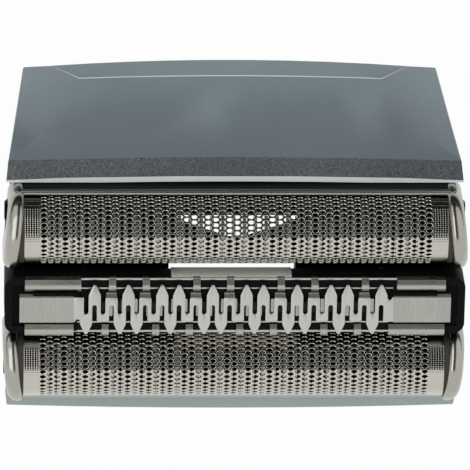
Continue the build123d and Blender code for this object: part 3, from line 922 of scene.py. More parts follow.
@dataclass
class FoilFrame:
    """Plated frame of one foil: round end beads with lug windows, and plated rails on black bases."""

    radius: float = 5.0
    drop: float = 3.4
    foil_radius: float = 4.35
    seat_start: float = 26.3
    seat_radius: float = 4.28
    bead_start: float = 27.15
    bead_width: float = 1.9
    bow_radius: float = 110.0
    outer_round: float = 1.15
    inner_round: float = 0.55
    round_segments: int = 8
    rail_top: float = 0.25
    inner_rail_drop: float = 0.6
    rail_height: float = 1.05
    rail_span: tuple[float, float] = (4.6, 5.0)
    rail_round: float = 0.09
    rail_tuck: float = 0.125
    base_setback: float = 0.08
    lug_window_half: float = 1.65
    lug_window_offset: float = 1.5
    lug_window_bottom: float = -2.75
    lug_window_top: float = 0.45
    lug_window_start: float = 26.0
    window_corner: float = 0.25
    arch_steps: int = 40
    finishes: tuple[Finish, ...] = (PLATING, BLACK, SEAT)

    def bow(self, depth: float) -> float:
        """How far the bowed ends of the head draw in at a distance from the middle plane."""
        return depth * depth / (2 * self.bow_radius)

    def arch_plate(self, mesh: bmesh.types.BMesh, radius: float, start: float, width: float) -> Geometry:
        """Adds an arched plate that stands across the foil.

        Args:
            mesh: The bmesh.
            radius: Radius of the arch over the foil axis.
            start: Where the plate starts along X.
            width: Its width along X.

        Returns:
            The plate's geometry.
        """
        before = set(everything(mesh))
        first = mesh.verts.new((start, radius, 0))
        arch = bmesh.ops.spin(mesh, geom=[first], cent=(0, 0, 0), axis=(1, 0, 0), angle=math.pi,
                              steps=self.arch_steps)["geom_last"]
        feet = []
        for vert in (first, *verts_in(arch)):
            made = bmesh.ops.extrude_vert_indiv(mesh, verts=[vert])["verts"]
            bmesh.ops.translate(mesh, vec=(0, 0, -self.drop), verts=made)
            feet += made
        mesh.edges.new(feet)
        face = bmesh.ops.edgeloop_fill(mesh, edges=edges_in(added_since(mesh, before)))["faces"]
        made = bmesh.ops.extrude_face_region(mesh, geom=face, use_keep_orig=True)["geom"]
        bmesh.ops.translate(mesh, vec=(width, 0, 0), verts=verts_in(made))
        return added_since(mesh, before)

    def bead(self, mesh: bmesh.types.BMesh, foil_offset: float) -> None:
        """Adds the round end bead at +X, bowed in plan.

        Args:
            mesh: The bmesh.
            foil_offset: Distance of the foil axis from the middle plane.
        """
        self.arch_plate(mesh, self.radius, self.bead_start, self.bead_width)
        outer = self.bead_start + self.bead_width
        for place, radius in ((outer, self.outer_round), (self.bead_start, self.inner_round)):
            crest = [edge for edge in mesh.edges
                     if all(abs(vert.co.x - place) < TOLERANCE for vert in edge.verts)
                     and any(vert.co.z > -self.drop + TOLERANCE for vert in edge.verts)]
            rounded(mesh, crest, radius, self.round_segments)
        for vert in mesh.verts:
            vert.co.x -= self.bow(vert.co.y + foil_offset)

    def window_cutter(self) -> bpy.types.Object:
        """Block that cuts the lug windows through both beads and seats.

        Returns:
            A loose object for the boolean cut.
        """
        mesh = bmesh.new()
        reach = self.bead_start + 2 * self.bead_width
        middle, half = self.lug_window_offset, self.lug_window_half
        for span in ((self.lug_window_start, reach), (-reach, -self.lug_window_start)):
            box(mesh, span, (middle - half, middle + half), (self.lug_window_bottom, self.lug_window_top))
        rounded(mesh, edges_along(mesh.edges[:], 0), self.window_corner, segments=3)
        return make_piece(mesh, "lug_windows", [PLATING], Vector())

    def beads(self, foil_offset: float) -> bmesh.types.BMesh:
        """Both end beads and the seats of the foil's ends, with the lug windows cut.

        Args:
            foil_offset: Distance of the foil axis from the middle plane.

        Returns:
            The bmesh in millimetres.
        """
        mesh = bmesh.new()
        self.bead(mesh, foil_offset)
        bmesh.ops.mirror(mesh, geom=everything(mesh), axis="X", merge_dist=0)
        for turn in (1, -1):
            width = turn * (self.rail_half() - self.seat_start)
            seat = self.arch_plate(mesh, self.seat_radius, turn * self.seat_start, width)
            marked(faces_in(seat), self.finishes.index(SEAT))
        bmesh.ops.recalc_face_normals(mesh, faces=mesh.faces)
        blank = make_piece(mesh, "bead_blank", self.finishes, Vector())
        cutter = self.window_cutter()
        cut = blank.modifiers.new("windows", "BOOLEAN")
        cut.operation = "DIFFERENCE"
        cut.solver = "EXACT"
        cut.use_self = True
        cut.object = cutter
        done = blank.evaluated_get(bpy.context.evaluated_depsgraph_get())
        mesh = bmesh.new()
        mesh.from_mesh(done.to_mesh())
        bmesh.ops.scale(mesh, vec=(1 / MM,) * 3, verts=mesh.verts)
        for loose in (blank, cutter):
            bpy.data.objects.remove(loose)
        return mesh

    def rail_half(self) -> float:
        """Half the length of the rails, which end inside the beads."""
        return self.bead_start + self.bead_width * self.rail_tuck

    def rails(self, mesh: bmesh.types.BMesh) -> None:
        """Adds the plated rails along both sides, each on a black base.

        Args:
            mesh: The bmesh.
        """
        half = self.rail_half()
        inner_span = (self.foil_radius, self.radius)
        base_span = (self.foil_radius, self.radius - self.base_setback)
        for side, top, span in ((1, self.rail_top, self.rail_span), (-1, -self.inner_rail_drop, inner_span)):
            rail = box(mesh, (-half, half), sorted(side * y for y in span), (top - self.rail_height, top))
            rounded(mesh, [edge for edge in edges_along(rail, 0) if edge.verts[0].co.z > top - TOLERANCE],
                    self.rail_round, segments=4)
            base = box(mesh, (-half, half), sorted(side * y for y in base_span),
                       (-self.drop, top - self.rail_height))
            marked({face for vert in verts_in(base) for face in vert.link_faces}, self.finishes.index(BLACK))

    def build(self, side: Side, axis: Vector) -> None:
        """Makes one frame.

        Args:
            side: Which foil it holds.
            axis: The foil's axis in millimetres.
        """
        mesh = self.beads(abs(axis.y))
        self.rails(mesh)
        bmesh.ops.scale(mesh, vec=(1, side.value, 1), verts=mesh.verts)
        bmesh.ops.recalc_face_normals(mesh, faces=mesh.faces)
        piece = make_piece(mesh, f"{side.prefix}_plated_frame", self.finishes, axis, smooth=30.0)
        fit(piece, f"{side.prefix}_foil_unit", Slot.PLATING, f"{side.prefix}_foil_frame")


@dataclass
class TrimmerComb:
    """Stamped lift comb: a serpentine strip with points and bent tabs, between two folded end plates."""

    top: float = 4.1
    wall: float = 0.25
    length: float = 53.72
    half_depth: float = 1.67
    strip_length: float = 39.9
    shift: tuple[float, float] = (-0.2, -0.15)
    pitch: float = 2.1
    fingers: int = 18
    pattern: str = "LSLSL"
    slot: float = 0.57
    slot_overrun: float = 0.63
    shoulder: float = 2.03
    shoulder_round: float = 0.3
    shoulder_steps: int = 3
    tip: float = 3.34
    tip_half: float = 0.2
    end_notch: float = 0.35
    tab_root_half: float = 0.74
    tab_half: float = 0.62
    tab_fold: float = 1.97
    tab_end: float = 2.02
    tab_rest: float = 3.35
    tab_steps: int = 6
    arc_steps: int = 6
    edge_round: float = 0.05
    edge_angle: float = 60.0
    plate_front: float = -1.8
    plate_rear: float = 1.9
    plate_fold: float = 0.25
    plate_drop: float = 0.65
    fold_lean: float = 0.5
    finishes: tuple[Finish, ...] = (STAMPED, BRUSHED, FOLD_SHADE_STEEL)

    def slot_end(self, place: float, bottom: float) -> list[tuple[float, float]]:
        """Round bottom of a slot, from its left wall to its right wall.

        Args:
            place: Middle of the slot along X.
            bottom: Depth that it reaches.

        Returns:
            Points of the outline.
        """
        radius = self.slot / 2
        turns = [math.pi * (1 + step / self.arc_steps) for step in range(self.arc_steps + 1)]
        return [(place + radius * math.cos(turn), bottom + radius * (1 + math.sin(turn))) for turn in turns]

    def finger(self, place: float, bent: bool) -> list[tuple[float, float]]:
        """Free end of one finger, from left to right.

        Args:
            place: Middle of the finger along X.
            bent: Whether it is cut short for a bent tab.

        Returns:
            Points of the outline.
        """
        half = (self.pitch - self.slot) / 2
        ease = self.shoulder_round
        steps = self.shoulder_steps
        turns = [math.pi / 2 * step / steps for step in range(steps + 1)]
        if bent:
            left = [(-half + ease * (1 - math.cos(turn)), self.half_depth - ease * (1 - math.sin(turn)))
                    for turn in turns]
        else:
            left = [(-half, self.shoulder - ease / 2), (-half + ease / 6, self.shoulder + ease / 6),
                    (-self.tip_half, self.tip - self.tip_half / 3), (-self.tip_half * 0.6, self.tip)]
        right = [(-x, y) for x, y in reversed(left)]
        return [(place + x, y) for x, y in left + right]

    def places(self) -> list[float]:
        """Middles of the rear fingers along X."""
        middle = (self.fingers - 1) / 2
        return [(index - middle) * self.pitch + self.pitch / 4 for index in range(self.fingers)]

    def bent(self, index: int) -> bool:
        """Whether a finger carries a bent tab."""
        return self.pattern[index % len(self.pattern)] == "S"

    def strip(self, mesh: bmesh.types.BMesh) -> None:
        """Adds the serpentine strip, slit from both sides.

        Args:
            mesh: The bmesh.
        """
        first, last = self.places()[0], self.places()[-1]
        half_slot, half_length = self.slot / 2, self.strip_length / 2
        edge = [(-half_length, self.half_depth), (first - self.pitch / 2 - half_slot, self.half_depth)]
        for index, place in enumerate(self.places()):
            edge += self.slot_end(place - self.pitch / 2, -self.slot_overrun)
            edge += self.finger(place, self.bent(index))
        edge += self.slot_end(last + self.pitch / 2, self.half_depth - self.end_notch)
        edge += [(last + self.pitch / 2 + half_slot, self.half_depth), (half_length, self.half_depth)]
        outline = edge + [(-x, -y) for x, y in edge]
        mesh.faces.new([mesh.verts.new((x, y, self.top - self.wall)) for x, y in outline])
        thickened(mesh, (0, 0, self.wall))
        rim = [seam for seam in sharp_edges(mesh, self.edge_angle)
               if all(vert.co.z > self.top - self.wall / 2 for vert in seam.verts)]
        rounded(mesh, rim, self.edge_round, segments=2)

    def end_plate(self, mesh: bmesh.types.BMesh, turn: int) -> None:
        """Adds one end plate, whose long edges are folded down.

        Args:
            mesh: The bmesh.
            turn: Which end, 1 or -1 along X.
        """
        foot = self.top - self.plate_drop
        fold = self.plate_fold
        section = [(self.plate_front, foot), (self.plate_front, self.top - fold / 3),
                   (self.plate_front + fold / 3, self.top), (self.plate_rear - fold, self.top),
                   (self.plate_rear - 0.8 * fold, self.top - fold / 4), (self.plate_rear, foot)]
        span = (turn * self.strip_length / 2, turn * self.length / 2 - self.shift[0])
        sheet_length(mesh, section, span, self.wall)

    def tab(self, mesh: bmesh.types.BMesh, place: float) -> None:
        """Adds one tab that bends down steeply from a short finger, and its twin opposite.

        Args:
            mesh: The bmesh.
            place: Middle of the finger along X.
        """
        before = set(everything(mesh))
        start = self.half_depth - self.wall
        ends = [mesh.verts.new((place + turn * self.tab_root_half, start, self.top)) for turn in (-1, 1)]
        edge = [mesh.edges.new(ends)]
        level = self.top
        for step in range(1, self.tab_steps + 1):
            share = step / self.tab_steps
            next_level = self.top + (self.tab_rest - self.top) * (1 - math.cos(math.pi * share)) / 2
            edge = drawn_on(mesh, edge, (0, (self.tab_fold - start) / self.tab_steps, next_level - level))
            level = next_level
            half = self.tab_root_half + (self.tab_half - self.tab_root_half) * share
            for vert in edge[0].verts:
                vert.co.x = place + math.copysign(half, vert.co.x - place)
        drawn_on(mesh, edge, (0, self.tab_end - self.tab_fold, 0))
        sheet_metal(mesh, faces_in(added_since(mesh, before)), self.wall)
        half_turned(mesh, added_since(mesh, before))

    def build(self, axis: Vector) -> None:
        """Makes the comb.

        Args:
            axis: Middle of the trimmer in millimetres.
        """
        mesh = bmesh.new()
        self.strip(mesh)
        stamped = set(mesh.faces)
        for index, place in enumerate(self.places()):
            if self.bent(index):
                self.tab(mesh, place)
        tabs = set(mesh.faces) - stamped
        for turn in (1, -1):
            self.end_plate(mesh, turn)
        bmesh.ops.recalc_face_normals(mesh, faces=mesh.faces)
        # Folds and tabs that lean away take the darker steel as painted shade.
        for face in mesh.faces:
            finish = STAMPED if face in stamped else BRUSHED
            if face in tabs or (face not in stamped and abs(face.normal.y) > self.fold_lean):
                finish = FOLD_SHADE_STEEL
            face.material_index = self.finishes.index(finish)
        place = axis + Vector((*self.shift, 0))
        piece = make_piece(mesh, "lift_comb", self.finishes, place, smooth=28.0)
        fit(piece, "trimmer_unit", Slot.TRIMMER, "trimmer_comb")


@dataclass
class TrimmerGuard:
    """Folded steel guard: crowned rails and cross bars either side of the comb, joined by thin strips."""

    top: float = 3.82
    crown: float = 0.3
    wall: float = 0.22
    half_depth: float = 3.8
    inner_edge: float = 2.27
    half_length: float = 26.2
    window_half: float = 19.65
    window_shift: float = 0.46
    bar_half: float = 0.45
    bar_shift: float = -0.1
    lip: float = 1.1
    shift: float = -0.13
    strip_top: float = 3.22
    strip_shift: float = 0.23
    outer_strip: tuple[float, float] = (3.42, 3.7)
    inner_strip: tuple[float, float] = (2.2, 2.42)
    side_span: tuple[float, float] = (-7.96, 7.05)
    side_y: tuple[float, float] = (3.58, 3.8)
    side_z: tuple[float, float] = (-0.33, 2.6)
    edge_round: float = 0.05
    steps: int = 8
    finishes: tuple[Finish, ...] = (ROLLED, STAMPED, PALE_STEEL)

    def section(self) -> list[tuple[float, float]]:
        """Crowned section of a rail as (y, z) points, from the foot of its outer lip to its inner edge.

        Returns:
            Points of the section.
        """
        middle, half = (self.half_depth + self.inner_edge) / 2, (self.half_depth - self.inner_edge) / 2
        shares = [1 - 2 * step / self.steps for step in range(self.steps + 1)]
        rail = [(middle + half * share, self.top - self.crown * share * share) for share in shares]
        return [(self.half_depth, rail[0][1] - self.lip), *rail]

    def rail(self, mesh: bmesh.types.BMesh, bars: Sequence[float]) -> None:
        """Adds the rear rail: two crowned ends, the cross bars and the side plate.

        Args:
            mesh: The bmesh.
            bars: Middles of the cross bars along X.
        """
        spans = [sorted((turn * self.window_half + self.window_shift, turn * self.half_length))
                 for turn in (1, -1)]
        spans += [[place - self.bar_half, place + self.bar_half] for place in bars]
        for span in spans:
            sheet_length(mesh, self.section(), span, self.wall)
        before = set(mesh.faces)
        plate = box(mesh, self.side_span, self.side_y, self.side_z)
        rounded(mesh, edges_in(plate), self.edge_round, segments=2)
        marked(set(mesh.faces) - before, self.finishes.index(PALE_STEEL))

    def strips(self, mesh: bmesh.types.BMesh) -> None:
        """Adds the thin strips along both windows, under the cross bars.

        Args:
            mesh: The bmesh.
        """
        before = set(mesh.faces)
        for turn in (1, -1):
            middle = turn * self.window_shift
            for low, high in (self.outer_strip, self.inner_strip):
                strip = box(mesh, (middle - self.window_half, middle + self.window_half),
                            sorted((turn * low + self.strip_shift, turn * high + self.strip_shift)),
                            (self.strip_top - self.wall, self.strip_top))
                rounded(mesh, edges_along(strip, 0), self.edge_round, segments=2)
        marked(set(mesh.faces) - before, self.finishes.index(STAMPED))

    def build(self, axis: Vector, bars: Sequence[float]) -> None:
        """Makes the guard.

        Args:
            axis: Middle of the trimmer in millimetres.
            bars: Middles of the rear cross bars along X.
        """
        mesh = bmesh.new()
        self.rail(mesh, [place + self.bar_shift for place in bars])
        half_turned(mesh, everything(mesh))
        self.strips(mesh)
        bmesh.ops.recalc_face_normals(mesh, faces=mesh.faces)
        piece = make_piece(mesh, "trimmer_rails", self.finishes, axis + Vector((0, self.shift, 0)))
        fit(piece, "trimmer_unit", Slot.TRIMMER, "trimmer_guard")


@dataclass
class ToothedBlade:
    """Blade under the comb: bright ground bars on a strip painted dark as shade."""

    pitch: float = 1.55
    bar: float = 0.44
    bar_rise: float = 0.1
    bar_half: float = 1.18
    strip_half: float = 0.7
    corner: float = 0.12
    finishes: tuple[Finish, ...] = (GROUND, SHADED_STRIP_STEEL)

    def build(self) -> None:
        """Makes the blade in its CAD node's box, its bars clear of the comb's tabs."""
        low, high = (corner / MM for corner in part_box("trimmer_blade"))
        mesh = bmesh.new()
        box(mesh, (low.x, high.x), (-self.strip_half, self.strip_half), (low.z, high.z - self.bar_rise))
        # The strip under the bars is painted dark as shade.
        marked(mesh.faces, self.finishes.index(SHADED_STRIP_STEEL))
        count = int((high.x - low.x - self.bar) / self.pitch)
        for index in range(count + 1):
            place = (index - count / 2) * self.pitch
            bar = box(mesh, (place - self.bar / 2, place + self.bar / 2), (-self.bar_half, self.bar_half),
                      (low.z, high.z))
            rounded(mesh, edges_along(bar, 2), self.corner, segments=2)
        piece = make_piece(mesh, "toothed_blade", self.finishes, Vector())
        fit(piece, "trimmer_cutter", Slot.BLADE, "trimmer_blade")


@dataclass
class Skirt:
    """Painted skirt with eased edges, raised rim flares, its own paint on the shoulders with a lighter copy
    on the front one as painted light, and a painted highlight on the lip and flare steps.
    """

    edge: float = 0.03
    crease_edge: float = 0.14
    crease_half: float = 16.4
    front_growth: float = 0.45
    side_edge: float = 0.25
    side_half: float = 22.0
    crease_span: tuple[float, float] = (18.3, 18.7)
    flare_height: float = 2.3
    flare_lean: tuple[float, float] = (0.31, 0.6)
    flare_lift: float = 0.1
    flare_raise: float = 0.5
    flare_half: float = 22.6
    flare_end: float = 0.28
    flare_inner: float = 20.9
    panel_slope: float = 0.27
    lip_inner: float = 14.75
    lip_growth: tuple[float, float] = (0.09, 0.1)
    shoulder_bottom: float = 18.4
    shoulder_lean: tuple[float, float] = (0.6, 0.96)
    lip_bottom: float = 19.45
    crease_angle: float = 15.0
    side_angle: float = 30.0
    side_rise: float = 1.0
    edge_angle: float = 25.0
    inside_lean: float = -0.5
    finishes: tuple[Finish, ...] = (PAINT, SHOULDER_PAINT, LIP_HIGHLIGHT_PAINT, RAW, FRONT_SHOULDER_LIT_PAINT)

    def lifted_flares(self, mesh: bmesh.types.BMesh) -> None:
        """Lifts the upper edge of the rim flares and gives the fine steps round them the lip's painted
        highlight.

        Args:
            mesh: The bmesh.
        """
        low, high = self.flare_lean
        flare = [face for face in mesh.faces if low < face.normal.z < high
                 and face.calc_center_median().z < self.flare_height]
        lifted = {vert for face in flare for vert in face.verts}
        feet = {edge.other_vert(vert) for vert in lifted for edge in vert.link_edges
                if edge.calc_length() < 2 * self.flare_end}
        top = {vert for vert in mesh.verts if abs(vert.co.z - self.flare_height) < TOLERANCE
               and abs(vert.co.y) > self.flare_inner}
        rim = lifted | feet | top
        steps = [face for face in mesh.faces if face not in flare and rim.issuperset(face.verts)]
        # The steps take the lip's painted highlight.
        marked(steps, SkirtZone.LIP)
        for vert in lifted | top:
            outward = math.copysign(1.0, vert.co.y)
            if vert in lifted:
                share = vert.co.x / self.flare_half
                vert.co.y += outward * (self.flare_lift if vert in top else -self.flare_end * share * share)
            if vert in top:
                vert.co.z += self.flare_raise
                vert.co.y -= outward * self.flare_raise * self.panel_slope

    def at_side(self, edge: bmesh.types.BMEdge) -> bool:
        """Whether an edge runs down the outer side of a panel."""
        rise = abs(edge.verts[0].co.z - edge.verts[1].co.z)
        return rise > self.side_rise and all(
            abs(vert.co.x) > self.side_half and abs(vert.co.y) > self.crease_half for vert in edge.verts)

    def widened_lip(self, mesh: bmesh.types.BMesh) -> None:
        """Widens the lip inwards and lifts its inner edge.

        Args:
            mesh: The bmesh.
        """
        inward, upward = self.lip_growth
        for vert in mesh.verts:
            if vert.co.z > self.lip_bottom and abs(vert.co.y) < self.lip_inner:
                vert.co.y -= math.copysign(inward, vert.co.y)
                vert.co.z += upward

    def zone(self, face: bmesh.types.BMFace) -> SkirtZone:
        """Zone that one face lies in.

        Args:
            face: A face of the skirt, which has the lip's index if it is a step round a flare.

        Returns:
            The zone, by where the face lies and how it leans.
        """
        middle, normal = face.calc_center_median(), face.normal
        on_lip = middle.z > self.lip_bottom and normal.z > self.shoulder_lean[1]
        if on_lip or face.material_index == SkirtZone.LIP:
            return SkirtZone.LIP
        if middle.z > self.shoulder_bottom and normal.z > self.shoulder_lean[0]:
            return SkirtZone.REAR_SHOULDER if middle.y > 0 else SkirtZone.FRONT_SHOULDER
        turned_in = middle.xy.normalized().dot(normal.xy) < self.inside_lean
        return SkirtZone.INSIDE if turned_in else SkirtZone.PANEL

    def build(self) -> None:
        """Makes the skirt from the housing's solid, eases its edges and paints it."""
        mesh = merged_copy("housing")
        self.lifted_flares(mesh)
        self.widened_lip(mesh)
        low, high = self.crease_span
        for vert in mesh.verts:
            if low < vert.co.z < high and vert.co.y < -self.crease_half:
                vert.co.y -= self.front_growth
        crease = [edge for edge in sharp_edges(mesh, self.crease_angle)
                  if all(low < vert.co.z < high and abs(vert.co.y) > self.crease_half for vert in edge.verts)]
        rounded(mesh, crease, self.crease_edge, segments=4, clamped=False)
        sides = [edge for edge in sharp_edges(mesh, self.side_angle) if self.at_side(edge)]
        rounded(mesh, sides, self.side_edge, segments=3, clamped=False)
        rounded(mesh, sharp_edges(mesh, self.edge_angle), self.edge, segments=2)
        bmesh.ops.recalc_face_normals(mesh, faces=mesh.faces)
        for face in mesh.faces:
            face.material_index = self.zone(face)
        piece = make_piece(mesh, "painted_skirt", self.finishes, Vector(), smooth=20.0)
        fit(piece, "cassette", Slot.PAINT, "housing")


@dataclass
class BlackMouldings:
    """Black mouldings that show: the chassis and the trimmer's carrier, with eased edges."""

    chassis_edge: float = 0.15
    carrier_edge: float = 0.16
    edge_angle: float = 30.0
    ledge: tuple[tuple[float, float], ...] = ((-16.0, -10.0), (0.6, 1.4), (15.9, 16.45))

    def build(self) -> None:
        """Makes both mouldings and dresses the ones that stay inside."""
        pieces = (("chassis", "black_chassis", "cassette", self.chassis_edge),
                  ("trimmer_carrier", "black_carrier", "trimmer_unit", self.carrier_edge))
        for node, name, body, radius in pieces:
            mesh = merged_copy(node)
            rounded(mesh, sharp_edges(mesh, self.edge_angle), radius, segments=3)
            if node == "chassis":
                box(mesh, *self.ledge)
            fit(make_piece(mesh, name, [BLACK], Vector()), body, Slot.PLASTIC, node)
        for side in Side:
            for node in ("cutter_cradle", "cutter_spine"):
                dress(f"{side.prefix}_{node}", BLACK)
        dress("trimmer_driver", BLACK)


@dataclass
class LeafSprings:
    """Bent leaf springs in pairs; the ones that a foil or the trimmer floats on get meshes of their own."""

    wall: float = 0.15
    cutter_length: float = 9.0
    float_length: float = 11.0
    trimmer_length: float = 5.6
    steps: int = 14
    rise_share: float = 0.42

    def height(self, share: float) -> float:
        """Height of a leaf along its length, 0 at its feet and 1 over its flat crown."""
        slope = min(share, 1 - share, self.rise_share) / self.rise_share
        return slope * slope * (3 - 2 * slope)

    def pair(self, node: str, name: str, length: float) -> bpy.types.Object:
        """Makes the two leaves that stand for one CAD node.

        Args:
            node: The CAD node.
            name: Name of the new piece.
            length: Length of a leaf in millimetres.

        Returns:
            The piece.
        """
        low, high = (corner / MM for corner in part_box(node))
        rise = high.z - low.z - self.wall
        mesh = bmesh.new()
        for start in (low.x, high.x - length):
            ends = [mesh.verts.new((start, y, low.z + self.wall)) for y in (low.y, high.y)]
            edge = [mesh.edges.new(ends)]
            for step in range(self.steps):
                climb = self.height((step + 1) / self.steps) - self.height(step / self.steps)
                edge = drawn_on(mesh, edge, (length / self.steps, 0, rise * climb))
        sheet_metal(mesh, mesh.faces[:], self.wall)
        bmesh.ops.recalc_face_normals(mesh, faces=mesh.faces)
        return make_piece(mesh, name, [SPRING], Vector())

    def flattened(self, piece: bpy.types.Object) -> None:
        """Gives a spring on the deck a mesh of its own.

        Args:
            piece: The spring.
        """
        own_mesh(piece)

    def build(self) -> None:
        """Makes all the springs."""
        for side in Side:
            node = f"{side.prefix}_cutter_springs"
            piece = self.pair(node, f"{side.prefix}_cutter_leaves", self.cutter_length)
            fit(piece, f"{side.prefix}_foil_unit", Slot.SPRING, node)
            node = f"{side.prefix}_float_springs"
            piece = self.pair(node, f"{side.prefix}_float_leaves", self.float_length)
            fit(piece, "cassette", Slot.SPRING, node)
            self.flattened(piece)
        piece = self.pair("trimmer_springs", "trimmer_leaves", self.trimmer_length)
        fit(piece, "cassette", Slot.SPRING, "trimmer_springs")
        self.flattened(piece)


@dataclass(frozen=True)
class Card:
    """A studio card that only reflections see: an arch about the X axis, in some cases with a level foot."""

    name: str
    radiance: float
    x_span: tuple[float, float]
    turn_span: tuple[float, float] = (-6.0, 89.9)
    radius: float = 0.6
    foot: float | None = None
    steps: int = 24

    def build(self) -> None:
        """Hangs the card, which glows at its own radiance and lights nothing but reflections."""
        mesh = bmesh.new()
        start, end = (math.radians(turn) for turn in self.turn_span)
        line = [mesh.verts.new((x, self.radius * math.sin(start), self.radius * math.cos(start)))
                for x in self.x_span]
        edge = mesh.edges.new(line)
        swept = bmesh.ops.spin(mesh, geom=[*line, edge], cent=(0, 0, 0), axis=(-1, 0, 0), angle=end - start,
                               steps=self.steps)["geom_last"]
        if self.foot is not None:
            drawn_on(mesh, edges_in(swept), (0, self.foot - self.radius, 0))
        material = bpy.data.materials.new(self.name)
        material.use_nodes = True
        material.cycles.emission_sampling = "NONE"
        tree = material.node_tree
        tree.nodes.remove(tree.nodes["Principled BSDF"])
        glow = tree.nodes.new("ShaderNodeEmission")
        glow.inputs["Strength"].default_value = self.radiance
        tree.links.new(glow.outputs["Emission"], tree.nodes["Material Output"].inputs["Surface"])
        card = mesh_object(mesh, self.name, [material])
        card.visible_camera = False
        card.visible_diffuse = False
        card.visible_transmission = False
        card.visible_shadow = False


@dataclass(frozen=True)
class Lamp:
    """A square soft lamp that faces the object and isn't mirrored in it."""

    name: str
    place: tuple[float, float, float]
    size: float
    radiance: float

    def build(self) -> None:
        """Hangs the lamp, whose face would look white at a radiance of 1."""
        data = bpy.data.lights.new(self.name, "AREA")
        data.shape = "SQUARE"
        data.size = self.size
        data.energy = self.radiance * math.pi * self.size * self.size
        lamp = bpy.data.objects.new(self.name, data)
        lamp.location = self.place
        lamp.rotation_euler = (-Vector(self.place)).to_track_quat("-Z", "Y").to_euler()
        lamp.visible_glossy = False
        bpy.context.scene.collection.objects.link(lamp)


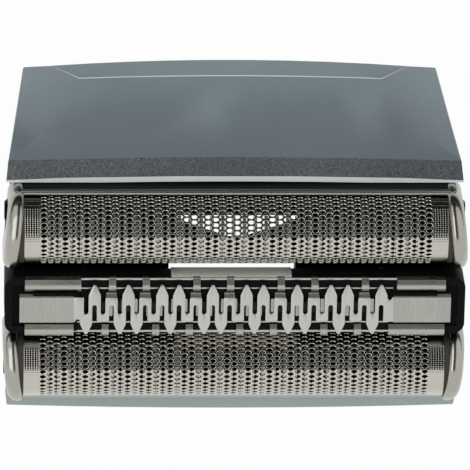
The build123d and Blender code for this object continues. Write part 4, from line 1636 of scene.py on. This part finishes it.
@dataclass
class Studio:
    """Pale floor, soft lamps, the cards that the metal mirrors, and the camera."""

    floor_half: float = 1.2
    floor_drop: float = 0.00005
    floor_grey: float = 0.9
    ambient: float = 0.45
    backdrop_share: float = 0.97
    view_tilt: float = 24.5
    view_turn: float = 2.7
    view_distance: float = 0.87
    view_scale: float = 0.000125
    image_width: int = 470
    sensor: float = 36.0
    clip_span: tuple[float, float] = (0.01, 20.0)
    aim: tuple[float, float, float] = (0.000125, 0.0068, 0.01925)
    gloss_share: float = 0.64
    cards: tuple[Card, ...] = (
        Card("dark_card", 0.015, (-0.084, 0.16), foot=0.1),
        Card("left_window", 1.6, (-0.6, -0.084), (-6.0, 60.0)),
        Card("left_card", 0.6, (-3.0, -0.6)),
        Card("right_card", 0.85, (0.16, 1.65)),
        Card("floor_card", 0.02, (-0.4, 0.4), (89.8, 89.9), radius=0.1, foot=0.036, steps=1),
        Card("near_floor_card", 0.75, (-0.4, 0.4), (89.4, 89.5), radius=0.036, foot=0.025, steps=1),
    )
    lamps: tuple[Lamp, ...] = (
        Lamp("rear_softbox", (0.0, 0.42, 0.34), 0.5, 1.3),
        Lamp("front_softbox", (0.0, -0.45, 0.36), 0.5, 0.8),
    )

    def backdrop_rays(self, tree: bpy.types.NodeTree) -> bpy.types.NodeSocket:
        """Share of the rays that see the plain white background.

        Args:
            tree: Node tree of the floor or the world.

        Returns:
            1 for rays from the camera or a clear surface, less for a gloss, 0 for the others.
        """
        path = tree.nodes.new("ShaderNodeLightPath")
        gloss = carried_over(tree, path.outputs["Is Glossy Ray"], 0.0, self.gloss_share)
        total = path.outputs["Is Camera Ray"]
        for rays in (gloss, path.outputs["Is Transmission Ray"]):
            node = tree.nodes.new("ShaderNodeMath")
            node.operation = "MAXIMUM"
            tree.links.new(total, node.inputs[0])
            tree.links.new(rays, node.inputs[1])
            total = node.outputs[0]
        return total

    def floor(self) -> None:
        """Makes the pale floor, which keeps the object's shadow."""
        mesh = bmesh.new()
        bmesh.ops.create_grid(mesh, x_segments=1, y_segments=1, size=self.floor_half)
        bmesh.ops.translate(mesh, vec=(0, 0, -self.floor_drop), verts=mesh.verts)
        material = bpy.data.materials.new("pale_floor")
        material.use_nodes = True
        tree = material.node_tree
        tree.nodes.remove(tree.nodes["Principled BSDF"])
        matte = tree.nodes.new("ShaderNodeBsdfDiffuse")
        matte.inputs["Color"].default_value = (*(self.floor_grey,) * 3, 1.0)
        glow = tree.nodes.new("ShaderNodeEmission")
        mix = tree.nodes.new("ShaderNodeMixShader")
        share = carried_over(tree, self.backdrop_rays(tree), 0.0, self.backdrop_share)
        tree.links.new(share, mix.inputs["Fac"])
        tree.links.new(matte.outputs["BSDF"], mix.inputs[1])
        tree.links.new(glow.outputs["Emission"], mix.inputs[2])
        tree.links.new(mix.outputs["Shader"], tree.nodes["Material Output"].inputs["Surface"])
        floor = mesh_object(mesh, "floor", [material])

    def world(self) -> None:
        """Makes the world white where it is seen and soft where it lights."""
        world = bpy.data.worlds.new("studio")
        bpy.context.scene.world = world
        world.use_nodes = True
        tree = world.node_tree
        background = tree.nodes["Background"]
        background.inputs["Color"].default_value = (1.0, 1.0, 1.0, 1.0)
        strength = carried_over(tree, self.backdrop_rays(tree), self.ambient, 1.0)
        tree.links.new(strength, background.inputs["Strength"])

    def camera(self) -> None:
        """Sets the camera at the photograph's viewing angle and scale, a little left of the middle."""
        data = bpy.data.cameras.new("camera")
        data.sensor_width = self.sensor
        data.lens = self.sensor * self.view_distance / (self.view_scale * self.image_width)
        data.clip_start, data.clip_end = self.clip_span
        camera = bpy.data.objects.new("camera", data)
        tilt, turn = math.radians(self.view_tilt), math.radians(self.view_turn)
        lifted, across = Vector((0, math.sin(tilt), math.cos(tilt))), Vector((1, 0, 0))
        back = math.cos(turn) * lifted - math.sin(turn) * across
        right = math.cos(turn) * across + math.sin(turn) * lifted
        camera.location = Vector(self.aim) + self.view_distance * back
        camera.rotation_euler = Matrix((right, back.cross(right), back)).transposed().to_euler()
        bpy.context.scene.collection.objects.link(camera)
        bpy.context.scene.camera = camera

    def build(self) -> None:
        """Sets up the whole studio."""
        bpy.context.scene.view_settings.view_transform = "Standard"
        self.floor()
        self.world()
        for light in (*self.cards, *self.lamps):
            light.build()
        self.camera()


def foil_axis(side: Side, radius: float) -> Vector:
    """Axis of one foil in millimetres, from its CAD node's box.

    Args:
        side: Which foil.
        radius: Outside radius of the foil.

    Returns:
        A point on the axis at the middle of the foil.
    """
    low, high = (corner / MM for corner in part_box(f"{side.prefix}_foil"))
    return Vector((0.0, (low.y + high.y) / 2, high.z - radius))


def main() -> None:
    """Builds and dresses the head, piece by piece, and sets up the studio."""
    logging.basicConfig(level=logging.INFO, format="%(name)s %(message)s")
    foil = ShavingFoil()
    sheet = foil.sheet()
    for side in Side:
        axis = foil_axis(side, foil.radius)
        foil.build(side, axis, sheet)
        CutterRow().build(side, axis)
        SocketWeb().build(side, axis)
        FoilFrame().build(side, axis)
    sheet.free()
    middle = foil_axis(Side.REAR, foil.radius)
    middle.y = 0.0
    comb = TrimmerComb()
    comb.build(middle)
    TrimmerGuard().build(middle, [place for index, place in enumerate(comb.places()) if comb.bent(index)])
    ToothedBlade().build()
    Skirt().build()
    BlackMouldings().build()
    LeafSprings().build()
    Studio().build()


if __name__ == "__main__":
    main()
